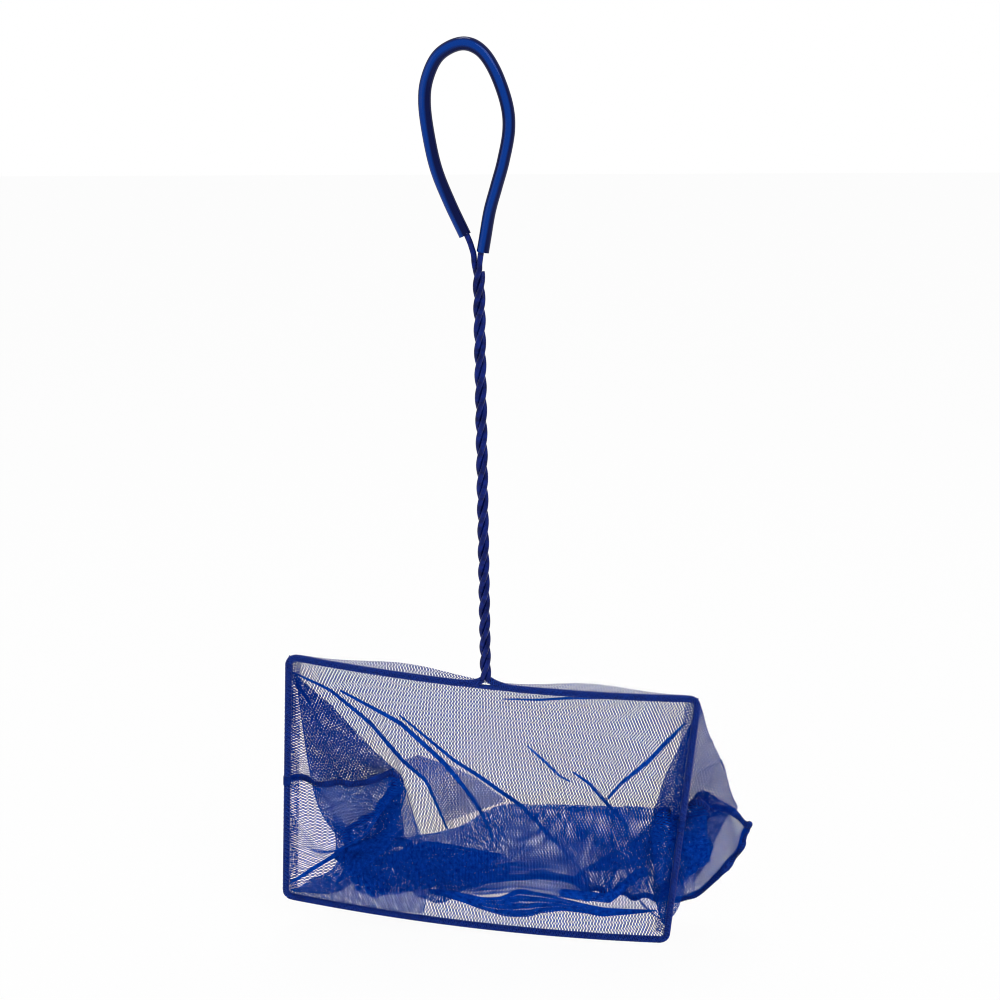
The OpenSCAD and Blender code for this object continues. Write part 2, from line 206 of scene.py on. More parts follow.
def swept(route: Array, radius: Array | float, sides: int, across: Array, closed_ends: bool = True,
          flat: float = 1.0) -> Surface:
    """A round bar carried along a route.

    Each ring is the route's point plus radius (cos a side + flat sin a up), with the side and the
    up that square_to gives.

    Args:
        route: centre line, one point a row.
        radius: radius at each point, or one for all.
        sides: corners of a ring.
        across: a direction, or one for each point, that the route never takes.
        closed_ends: whether both ends run in, almost to a point on the route.
        flat: height of a ring over its width.

    Returns:
        The bar's surface, mapped by distance along it and share round it.
    """
    side, up = square_to(route, across)
    r = np.broadcast_to(np.asarray(radius, float), (len(route),))
    if closed_ends:
        r = np.concatenate([[r[0] * POLE], r, [r[-1] * POLE]])
        pick = np.concatenate([[0], np.arange(len(route)), [len(route) - 1]])
        route, side, up = route[pick], side[pick], up[pick]
    a = np.linspace(0, 2 * np.pi, sides, endpoint=False)[:, None]
    rings = route[:, None] + r[:, None, None] * (np.cos(a) * side[:, None] + flat * np.sin(a) * up[:, None])
    run = run_along(route)
    uv = np.stack([np.repeat(run / max(run[-1], TINY), sides),
                   np.tile(np.arange(sides) / sides, len(run))], -1)
    i = np.arange(len(route) - 1)[:, None] * sides
    k = np.arange(sides)[None]
    q = (k + 1) % sides
    faces = np.stack([i + q, i + sides + q, i + sides + k, i + k], -1).reshape(-1, 4)
    return Surface(rings.reshape(-1, 3), faces, uv)


@dataclass(frozen=True)
class HoopPlane:
    """The hoop's own plane, in millimetres, with its origin at the handle's foot.

    Attributes:
        width: between the side rails' centre lines.
        height: between the top and the bottom rail's centre lines.
        bow: rise of a bowed rail at its ends.
        skew: the angle at which the hoop stands askew to the handle.
        shift: how far the hoop's middle lies beside the handle.
        hook: the part's origin, where a hook would carry the finger loop.
        eye: the camera's place.
        seen_depth: depth of the plane in which places read off the photograph are given.
    """

    width: float = 250.0
    height: float = 175.0
    bow: float = 6.0
    skew: float = math.radians(4.5)
    shift: float = 3.0
    hook: tuple[float, float, float] = (-5.6, 0.0, 364.85)
    eye: tuple[float, float, float] = (77.11, -681.13, 356.78)
    seen_depth: float = 8.0

    @property
    def bow_radius(self) -> float:
        """Radius of the circle on which a bowed rail lies."""
        return ((self.width / 2) ** 2 + self.bow ** 2) / (2 * self.bow)

    @property
    def side(self) -> float:
        """Length of the mouth along half a side rail."""
        return self.height / 2

    @property
    def mouth(self) -> float:
        """Length of the mouth round half the hoop."""
        return self.width + self.height

    def rail(self, x: Array) -> Array:
        """Height of the top rail over the handle's foot: R - sqrt(R^2 - x^2)."""
        return self.bow_radius - np.sqrt(self.bow_radius ** 2 - np.asarray(x) ** 2)

    def turned(self, p: Array) -> Array:
        """Points of the plane, as (across, back, up), turned askew about the handle's foot.

        Args:
            p: points in the plane's own coordinates.

        Returns:
            The same points as they stand.
        """
        u = p[..., 0] + self.shift
        c, s = math.cos(self.skew), math.sin(self.skew)
        return np.stack([u * c + p[..., 2] * s, p[..., 1], p[..., 2] * c - u * s], -1)

    def straight(self, p: Array) -> Array:
        """The reverse of turned."""
        c, s = math.cos(self.skew), math.sin(self.skew)
        return np.stack([p[..., 0] * c - p[..., 2] * s - self.shift, p[..., 1],
                         p[..., 0] * s + p[..., 2] * c], -1)

    def placed(self, p: Array) -> Array:
        """Points of the plane put down in the part's frame, whose origin is the hook."""
        return self.turned(p) - np.array(self.hook)

    def carried(self, p: Array, share: Array) -> Array:
        """Points of the plane moved along their lines of sight: eye + share (p - eye)."""
        eye = np.array(self.eye)
        return self.straight(eye + (self.turned(p) - eye) * share[..., None])

    def seen(self, x: Array, z: Array, y: Array) -> Array:
        """Points at depth y that stand, for the camera, over (x, z) of the plane at seen_depth.

        Args:
            x: places across.
            z: heights.
            y: depths, or one for all.

        Returns:
            Points in the plane's own coordinates.
        """
        y = np.asarray(y, float)
        flat = np.stack(np.broadcast_arrays(np.asarray(x, float), self.seen_depth, np.asarray(z, float)), -1)
        return self.carried(flat, (y - self.eye[1]) / (self.seen_depth - self.eye[1]))

    def mouth_edge(self, u: Array, half: Panel, y: float = 1.6) -> Array:
        """The hem's line round half the hoop, at distances u from the left seam.

        Args:
            u: the distances.
            half: which half of the hoop.
            y: the line's depth.

        Returns:
            Points in the plane's own coordinates.
        """
        x = np.clip(u - self.side, 0, self.width) - self.width / 2
        rise = np.minimum(self.side, np.minimum(u, self.mouth - u))
        rail = self.rail(x) - (0 if half is Panel.UPPER else self.height)
        z = np.where(rise < self.side, self.bow - self.side + half.value * rise, rail)
        return np.stack([x, np.full_like(x, y), z], -1)


HOOP = HoopPlane()
HOOK = np.array(HOOP.hook)


# finishes


class Nodes:
    """A node tree, with short ways to add nodes, link sockets and mix shaders."""

    def __init__(self, tree: bpy.types.NodeTree) -> None:
        """Takes over a tree."""
        self.tree = tree

    @staticmethod
    def fill(node: bpy.types.Node, values: dict[str, object]) -> None:
        """Sets a node's inputs by name, with _ for a blank, and its settings by a leading s_.

        Args:
            node: the node.
            values: the values by name.
        """
        for key, value in values.items():
            if key.startswith("s_"):
                setattr(node, key[2:], value)
            else:
                node.inputs[key.replace("_", " ")].default_value = value

    def add(self, kind: str, **values: object) -> bpy.types.Node:
        """Adds a node of this kind, filled with these values.

        Args:
            kind: its Blender type, less ShaderNode.
            values: its inputs and settings, as in fill.

        Returns:
            The node.
        """
        node = self.tree.nodes.new("ShaderNode" + kind)
        self.fill(node, values)
        return node

    def link(self, out: bpy.types.NodeSocket, into: bpy.types.NodeSocket) -> None:
        """Links two sockets."""
        self.tree.links.new(out, into)

    def math(self, operation: str, *values: object) -> bpy.types.NodeSocket:
        """Result of a Math node; each of its inputs is a number or another node's socket.

        Args:
            operation: Blender's name for what it works out.
            values: its inputs in order.

        Returns:
            Its output socket.
        """
        node = self.add("Math", s_operation=operation)
        for place, value in enumerate(values):
            if isinstance(value, bpy.types.NodeSocket):
                self.link(value, node.inputs[place])
            else:
                node.inputs[place].default_value = value
        return node.outputs[0]

    def camera_ray(self) -> bpy.types.NodeSocket:
        """1 for a ray from the camera, straight or through the clear sleeve, and 0 for any other."""
        path = self.add("LightPath")
        return self.math("MAXIMUM", path.outputs["Is Camera Ray"], path.outputs["Is Transmission Ray"])

    def mix(self, *sockets: bpy.types.NodeSocket) -> None:
        """Mixes shaders: the share of the second, the first, the second, and where the mix goes.

        Args:
            sockets: these four, in this order.
        """
        node = self.add("MixShader")
        for place, socket in enumerate(sockets[:3]):
            self.link(socket, node.inputs[place])
        self.link(node.outputs[0], sockets[3])


class Finish(Nodes):
    """A material's nodes, round its Principled shader."""

    def __init__(self, name: str, **values: object) -> None:
        """Starts a material of this name; values set its shader's own sockets.

        Args:
            name: the material's name.
            values: the shader's inputs by name.
        """
        self.material = bpy.data.materials.new(name)
        self.material.use_nodes = True
        super().__init__(self.material.node_tree)
        self.shader = self.tree.nodes["Principled BSDF"]
        self.fill(self.shader, values)

    def where(self, scale: tuple = (1.0, 1.0, 1.0), use_map: bool = False) -> bpy.types.NodeSocket:
        """Coordinates of the object, or of its own map, in units of 1 over scale.

        Args:
            scale: how many units a metre has, or the whole map.
            use_map: whether to read the map.

        Returns:
            The coordinates' socket.
        """
        coord = self.add("UVMap", s_uv_map="OFBake") if use_map else self.add("TexCoord")
        mapping = self.add("Mapping", Scale=scale)
        self.link(coord.outputs["UV" if use_map else "Object"], mapping.inputs["Vector"])
        return mapping.outputs["Vector"]

    def noise(self, where: bpy.types.NodeSocket, scale: float, **values: float) -> bpy.types.NodeSocket:
        """Grey value of a noise on these coordinates.

        Args:
            where: the coordinates.
            scale: how fine it is.
            values: its other inputs.

        Returns:
            The value's socket.
        """
        node = self.add("TexNoise", Scale=scale, **values)
        self.link(where, node.inputs["Vector"])
        return node.outputs["Fac"]

    def colour(self, value: bpy.types.NodeSocket, *stops: tuple[float, tuple]) -> None:
        """Colours the shader by a value; each stop is a place from 0 to 1 and a colour.

        Args:
            value: the value's socket.
            stops: two stops.
        """
        node = self.add("ValToRGB")
        for element, (place, colour) in zip(node.color_ramp.elements, stops):
            element.position, element.color = place, (*colour, 1.0)
        self.link(value, node.inputs["Fac"])
        self.link(node.outputs["Color"], self.shader.inputs["Base Color"])

    def bump(self, height: bpy.types.NodeSocket, distance: float, strength: float) -> None:
        """Bumps the shader by a height, over a distance in metres.

        Args:
            height: the height's socket.
            distance: how far a height of 1 stands out.
            strength: share of the bump that shows.
        """
        node = self.add("Bump", Strength=strength, Distance=distance)
        self.link(height, node.inputs["Height"])
        self.link(node.outputs["Normal"], self.shader.inputs["Normal"])


@dataclass(frozen=True)
class CoatedWire:
    """Dark blue dip coating on steel: glossy, a little wavy, with a violet bloom."""

    deep: tuple[float, float, float] = (0.0015, 0.005, 0.065)
    bright: tuple[float, float, float] = (0.004, 0.018, 0.20)
    patch: float = 260.0
    grain: float = 1500.0

    def material(self) -> bpy.types.Material:
        """Two blues and two degrees of gloss in soft patches, and a fine orange-peel bump.

        Returns:
            The material.
        """
        n = Finish("coated_wire", Specular_IOR_Level=0.28, Specular_Tint=(0.45, 0.5, 1.0, 1.0))
        patches = n.noise(n.where(), self.patch, Detail=3.0, Roughness=0.55)
        n.colour(patches, (0.35, self.deep), (0.68, self.bright))
        rough = n.add("MapRange", From_Min=0.3, From_Max=0.7, To_Min=0.24, To_Max=0.40)
        n.link(patches, rough.inputs["Value"])
        n.link(rough.outputs["Result"], n.shader.inputs["Roughness"])
        n.bump(n.noise(n.where(), self.grain, Detail=2.0), distance=0.0002, strength=0.25)
        return n.material


@dataclass(frozen=True)
class SoftSleeve:
    """Clear blue soft plastic tube, coloured with a painted bright stripe of light through its front and
    painted shade of the dark wire inside round the rest.
    """

    # bright is the painted light of the stripe, which lies at stripe round the tube; deep is the painted
    # shade of the wire seen through the wall
    bright: tuple[float, float, float] = (0.0003, 0.042, 0.30)
    deep: tuple[float, float, float] = (0.001, 0.004, 0.058)
    stripe: float = 0.70
    turn: float = 0.17
    streak: float = 0.10

    def material(self) -> bpy.types.Material:
        """A painted bright stripe of light along the tube's front, which turns a little round it, on dark
        blue painted as shade of the wire inside.

        The map runs along the tube and round it. The stripe's middle is stripe + turn times the
        place along, and the share of the way round from there, with streaks, picks the colour.

        Returns:
            The material.
        """
        n = Finish("soft_sleeve", Roughness=0.08, IOR=1.40, Transmission_Weight=0.08,
                   Specular_IOR_Level=0.35, Specular_Tint=(0.45, 0.55, 1.0, 1.0))
        place = n.add("SeparateXYZ")
        n.link(n.where(use_map=True), place.inputs[0])
        lines = n.noise(n.where((3.0, 9.0, 1.0), use_map=True), 1.0, Detail=3.0)
        middle = n.math("MULTIPLY_ADD", place.outputs["X"], self.turn, self.stripe - self.streak / 2)
        shaken = n.math("MULTIPLY_ADD", lines, self.streak, middle)
        off = n.math("ABSOLUTE", n.math("SUBTRACT", place.outputs["Y"], shaken))
        # Painted light in the stripe, and painted shade of the wire round the rest of the tube
        n.colour(off, (0.05, self.bright), (0.11, self.deep))
        n.bump(lines, distance=0.0002, strength=0.15)
        return n.material


@dataclass(frozen=True)
class Thread:
    """Blue knitting thread of the net, the seams and the hem; one copy is painted lighter as lit, and one
    darker as shade.
    """

    name: str
    deep: tuple[float, float, float]
    bright: tuple[float, float, float]
    rough: float = 0.55
    shine: float = 0.0
    patch: float = 420.0
    fibre: float = 5200.0

    def material(self) -> bpy.types.Material:
        """Two blues in soft patches, and a bump of fine fibres.

        Returns:
            The material.
        """
        n = Finish(self.name, Roughness=self.rough, Specular_IOR_Level=self.shine)
        patches = n.noise(n.where(), self.patch, Detail=4.0, Roughness=0.6)
        n.colour(patches, (0.32, self.deep), (0.68, self.bright))
        n.bump(n.noise(n.where(), self.fibre, Detail=2.0), distance=0.0001, strength=0.35)
        return n.material


NET_THREAD = Thread("net_thread", (0.001, 0.020, 0.22), (0.003, 0.048, 0.46), rough=0.8)
# Painted light: the same thread as NET_THREAD painted lighter, as lit, for the lower panel in front and for
# the folds
LIT_NET_THREAD = Thread("lit_net_thread", (0.001, 0.032, 0.30), (0.005, 0.085, 0.64), rough=0.8)
HEM_THREAD = Thread("hem_thread", (0.0008, 0.010, 0.12), (0.004, 0.050, 0.42), rough=0.35, shine=0.2,
                    patch=900.0)
# Painted shade: the hem's cloth under its yarns is the thread painted dark, as shade between the yarns; the
# seams' stitches take the same material as their own dark thread
HEM_SHADE_AND_STITCH = Thread("hem_shade_and_stitch", (0.0005, 0.004, 0.045), (0.002, 0.014, 0.13), patch=900.0, shine=0.05)
SEAM_THREAD = Thread("seam_thread", (0.001, 0.012, 0.13), (0.004, 0.040, 0.32), rough=0.6, shine=0.1)


# the wire and its sleeve


@dataclass
class BentWire:
    """The one length of coated wire, and the sleeve over its finger loop.

    The wire starts with a cut end near the top of the twist and runs down it, round the hoop, up
    the twist, round the finger loop and down the twist again, so the twist has three strands.

    Attributes:
        thick: the wire's thickness.
        corner: radius of a corner of the hoop.
        vee_height: height at which the twist starts.
        vee_reach: how far from the handle the vee leaves the top rail.
        vee_pull: how stiffly a strand's direction bends the vee.
        twist_top: height at which the twist ends.
        strand: distance of a strand from the twist's middle.
        low_valley: height of the twist's lowest valley.
        high_valley: height of its highest one.
        valleys: how many lie from the one to the other.
        even: share of the twist that is evenly wound.
        short_end: how far under the twist's top the first cut end stops.
        tail: how far under the twist's start the last cut end reaches.
        foot_angles: where the left and the right side of the hoop meet the twist, in degrees.
        arms_back: how far back the right and the left arm start.
        arms_fade: height over which that fades.
        lead: length over which a strand's direction is taken.
        sleeve: the sleeve's nominal thickness.
        wall: its wall.
        slack: how far it lies inwards of the wire's middle.
        sleeve_feet: heights of its cut ends on the right and the left arm.
        slimmer: share by which it is stretched slimmer than its nominal thickness.
        swellings: place along it, share added and breadth of each slight swelling.
    """

    thick: float = 3.2
    corner: float = 5.0
    vee_height: float = 5.5
    vee_reach: float = 18.0
    vee_pull: float = 0.7
    twist_top: float = 252.0
    strand: float = 1.86
    low_valley: float = 25.4
    high_valley: float = 253.2
    valleys: int = 18
    even: float = 0.945
    short_end: float = 1.5
    tail: float = 1.0
    foot_angles: tuple[float, float] = (216.0, 96.0)
    arms_back: tuple[float, float] = (-1.7, 0.4)
    arms_fade: float = 8.0
    lead: float = 2.0
    sleeve: float = 7.0
    wall: float = 0.8
    slack: float = 0.9
    sleeve_feet: tuple[float, float] = (261.0, 269.5)
    slimmer: float = 0.03
    swellings: tuple = ((0.49, 0.025, 0.012), (0.51, 0.0125, 0.008))
    # Corners of a ring of the wire and of the sleeve, and points along each stretch
    sides: int = 18
    sleeve_sides: int = 24
    rail_points: int = 120
    corner_points: int = 14
    vee_points: int = 22
    loop_points: int = 400
    wire_points: int = 2000
    sleeve_points: int = 260
    climb_step: float = 0.9
    # The bent loop's centre line seen from the front, as (across, up), from its right foot over
    # the top to its left foot
    loop: tuple = ((0.6, 255), (1.3, 260), (2.7, 268), (5.5, 283), (9.3, 296), (13.1, 309), (16.1, 324.7),
                   (14.9, 338), (8.9, 354), (1.6, 363.6), (-7.6, 366.2), (-18.3, 361), (-24.4, 350),
                   (-26.1, 338), (-24.4, 321.7), (-20.8, 304.7), (-14.1, 287.5), (-5.8, 269.5),
                   (-3.6, 263.5), (-2.6, 259.5), (-2.4, 255.5))

    def arc(self, x: float, z: float, r: float, a0: float, a1: float, n: int) -> Array:
        """Points of an arc in the hoop's plane, from angle a0 to a1, in radians."""
        a = np.linspace(a0, a1, n)
        return np.stack([x + r * np.cos(a), np.zeros(n), z + r * np.sin(a)], -1)

    def upper_run(self, side: int) -> Array:
        """Top rail from the vee's foot, round the corner to the side rail.

        Args:
            side: -1 for the left, 1 for the right.

        Returns:
            Points of the centre line, one a row.
        """
        r, c = HOOP.bow_radius, self.corner
        cx = HOOP.width / 2 - c
        cz = r - math.sqrt((r + c) ** 2 - cx ** 2)
        ca = math.asin(cx / (r + c))
        foot = math.asin((side * self.vee_reach - HOOP.shift) / r)
        rail = self.arc(0, r, r, foot - math.pi / 2, side * ca - math.pi / 2, self.rail_points // 2)
        bend = self.arc(side * cx, cz, c, math.pi / 2 + side * ca, 0.0 if side > 0 else math.pi,
                        self.corner_points)
        return HOOP.turned(np.vstack([rail, bend[1:]]))

    def lower_run(self) -> Array:
        """Left corner, bottom rail and right corner.

        Returns:
            Points of the centre line, one a row.
        """
        r, c = HOOP.bow_radius, self.corner
        cx = HOOP.width / 2 - c
        cz = r - HOOP.height - math.sqrt((r - c) ** 2 - cx ** 2)
        ca = math.asin(cx / (r - c))
        left = self.arc(-cx, cz, c, math.pi, 1.5 * math.pi - ca, self.corner_points)
        rail = self.arc(0, r - HOOP.height, r, -math.pi / 2 - ca, -math.pi / 2 + ca, self.rail_points)
        right = self.arc(cx, cz, c, ca - math.pi / 2, 0.0, self.corner_points)
        return HOOP.turned(np.vstack([left, rail[1:], right[1:]]))

    def turn(self, z: Array) -> Array:
        """Angle of the twist at a height: a third of a turn from one valley to the next.

        Between the lowest and the highest valley t runs from -1 to 1, and their number passed is
        n (1 + even t + (1 - even) t^3) / 2, because the twist is tighter at both ends.

        Args:
            z: the heights.

        Returns:
            Angles in radians.
        """
        middle, half = (self.high_valley + self.low_valley) / 2, (self.high_valley - self.low_valley) / 2
        t = (z - middle) / half
        passed = self.valleys / 2 * (1 + self.even * t + (1 - self.even) * t ** 3)
        return math.pi / 3 + 2 * math.pi / 3 * passed

    def helix(self, strand: int, z: Array) -> Array:
        """Centre of strand 0, 1 or 2 at a height: a circle's point turning as it rises."""
        a = self.turn(z) + 2 * math.pi / 3 * strand
        return np.stack([self.strand * np.cos(a), self.strand * np.sin(a), z + 0 * a], -1)

    def strand_near(self, angle: float, z: float) -> int:
        """The strand that stands nearest an angle, in degrees, at a height.

        Args:
            angle: the angle.
            z: the height.

        Returns:
            The strand's number: 0, 1 or 2.
        """
        turned = math.degrees(float(self.turn(np.array(z))))
        off = [(turned + 120 * k - angle + 180) % 360 - 180 for k in range(3)]
        return int(np.argmin(np.abs(off)))

    def foot(self, side: int) -> int:
        """The strand that a side of the hoop runs into: in front from the left, behind from the right."""
        return self.strand_near(self.foot_angles[0 if side < 0 else 1], self.vee_height)

    def third(self) -> int:
        """The strand that comes down from the loop's left arm and is cut off at the vee."""
        return 3 - self.foot(-1) - self.foot(1)

    def climb(self, strand: int, low: float, high: float) -> Array:
        """A strand's centre line between two heights."""
        return self.helix(strand, np.linspace(low, high, int((high - low) / self.climb_step)))

    def vee(self, side: int) -> Array:
        """Cubic from the top rail to the start of a strand, tangent to both.

        Args:
            side: -1 for the left, 1 for the right.

        Returns:
            Points of the centre line, one a row.
        """
        x = side * self.vee_reach - HOOP.shift
        a = math.asin(x / HOOP.bow_radius)
        foot = HOOP.turned(np.array([x, 0.0, float(HOOP.rail(x))]))
        run = -side * (HOOP.turned(np.array([math.cos(a), 0.0, math.sin(a)])) - HOOP.turned(np.zeros(3)))
        start, above = self.helix(self.foot(side), np.array([self.vee_height, self.vee_height + self.lead]))
        up = unit(above - start)
        t = np.linspace(0, 1, self.vee_points)[:-1, None]
        return ((2 * t ** 3 - 3 * t ** 2 + 1) * foot + (t ** 3 - 2 * t ** 2 + t) * run * self.vee_reach
                + (3 * t ** 2 - 2 * t ** 3) * start + (t ** 3 - t ** 2) * up * self.vee_reach * self.vee_pull)

    def over_top(self) -> Array:
        """The finger loop's centre line, by a Catmull-Rom spline from one arm's strand to the other's.

        Returns:
            Points of the centre line, one a row.
        """
        ends = np.array([self.twist_top - self.lead, self.twist_top])
        right, left = self.helix(self.foot(1), ends), self.helix(self.third(), ends)
        x, z = np.array(self.loop, float).T
        back = np.where(np.arange(len(x)) < len(x) / 2, *self.arms_back)
        y = back * np.exp(-(z - self.twist_top) / self.arms_fade)
        knots = np.vstack([right, np.stack([x, y, z], -1), left[::-1]])
        t = np.linspace(1, len(knots) - 2, self.loop_points)
        i = np.minimum(t.astype(int), len(knots) - 3)
        f = (t - i)[:, None]
        a, b, c, d = (knots[i + k] for k in (-1, 0, 1, 2))
        return 0.5 * (2 * b + (c - a) * f + (2 * a - 5 * b + 4 * c - d) * f ** 2
                      + (3 * b - a - 3 * c + d) * f ** 3)

    def whole(self) -> Array:
        """The whole wire's centre line, from its cut end at the top to the one at the vee.

        Returns:
            Points of the centre line, one a row.
        """
        hoop = np.vstack([self.upper_run(-1), self.lower_run(), self.upper_run(1)[::-1]])
        first = self.climb(self.foot(-1), self.vee_height, self.twist_top - self.short_end)
        second = self.climb(self.foot(1), self.vee_height, self.twist_top)
        third = self.climb(self.third(), self.vee_height - self.tail, self.twist_top)
        return np.vstack([first[::-1], self.vee(-1)[::-1], hoop[1:-1], self.vee(1), second,
                          self.over_top()[1:-1], third[::-1]])

    def side_point(self, side: int, h: float) -> Array:
        """A point of a side rail's centre line, at a height from the seams' start."""
        return HOOP.turned(np.array([[side * HOOP.width / 2, 0.0, HOOP.bow - HOOP.side + h]]))

    def sleeve_route(self) -> Array:
        """Centre line of the sleeve, along the loop from its right foot to its left one.

        Returns:
            Points of the centre line, one a row.
        """
        line = self.over_top()
        line = line - unit(np.cross(np.gradient(line, axis=0), BACK)) * self.slack
        top = int(line[:, 2].argmax())
        right, left = line[:top], line[top:]
        low_right, low_left = self.sleeve_feet
        return np.vstack([right[right[:, 2] > low_right], left[left[:, 2] > low_left]])

    def tube(self) -> Surface:
        """The sleeve: an outer skin, a bore inside it and a rim at both cut ends.

        Outer radius at share s of its length: sleeve / 2 times (1 - slimmer + each swelling's
        share added, times exp(-((s - place) / breadth)^2)).

        Returns:
            Its closed surface.
        """
        route = spaced(self.sleeve_route() - HOOK, self.sleeve_points)
        share = np.linspace(0, 1, len(route))
        swell = sum(added * np.exp(-((share - place) / broad) ** 2) for place, added, broad in self.swellings)
        n = self.sleeve_sides
        skin = swept(route, self.sleeve / 2 * (1 - self.slimmer + swell), n, BACK, closed_ends=False)
        bore = swept(route, self.sleeve / 2 - self.wall, n, BACK, closed_ends=False)
        count, last = len(skin.points), (len(route) - 1) * n
        k = np.arange(n)
        q = (k + 1) % n
        rim = np.vstack([np.stack([k, q, count + q, count + k], -1),
                         np.stack([last + q, last + k, count + last + k, count + last + q], -1)])
        tube = Surface.joined([skin, Surface(bore.points, bore.faces[:, ::-1], bore.uv)])
        tube.faces = np.vstack([tube.faces, rim])
        return tube

    def build(self) -> list[bpy.types.Object]:
        """Makes the wire and the sleeve, and dresses them.

        Returns:
            The pieces.
        """
        line = spaced(self.whole() - HOOK, self.wire_points)
        wire = swept(line, self.thick / 2, self.sides, BACK).piece("bent_wire", CoatedWire().material())
        dress(wire, "coated_wire", "hoop_wire", "twist_strand_left", "twist_strand_right", "loop_arm_left",
              "loop_arm_right")
        sleeve = self.tube().piece("finger_sleeve", SoftSleeve().material())
        dress(sleeve, "sleeve", "grip_sleeve")
        return [wire, sleeve]


# the bag of net


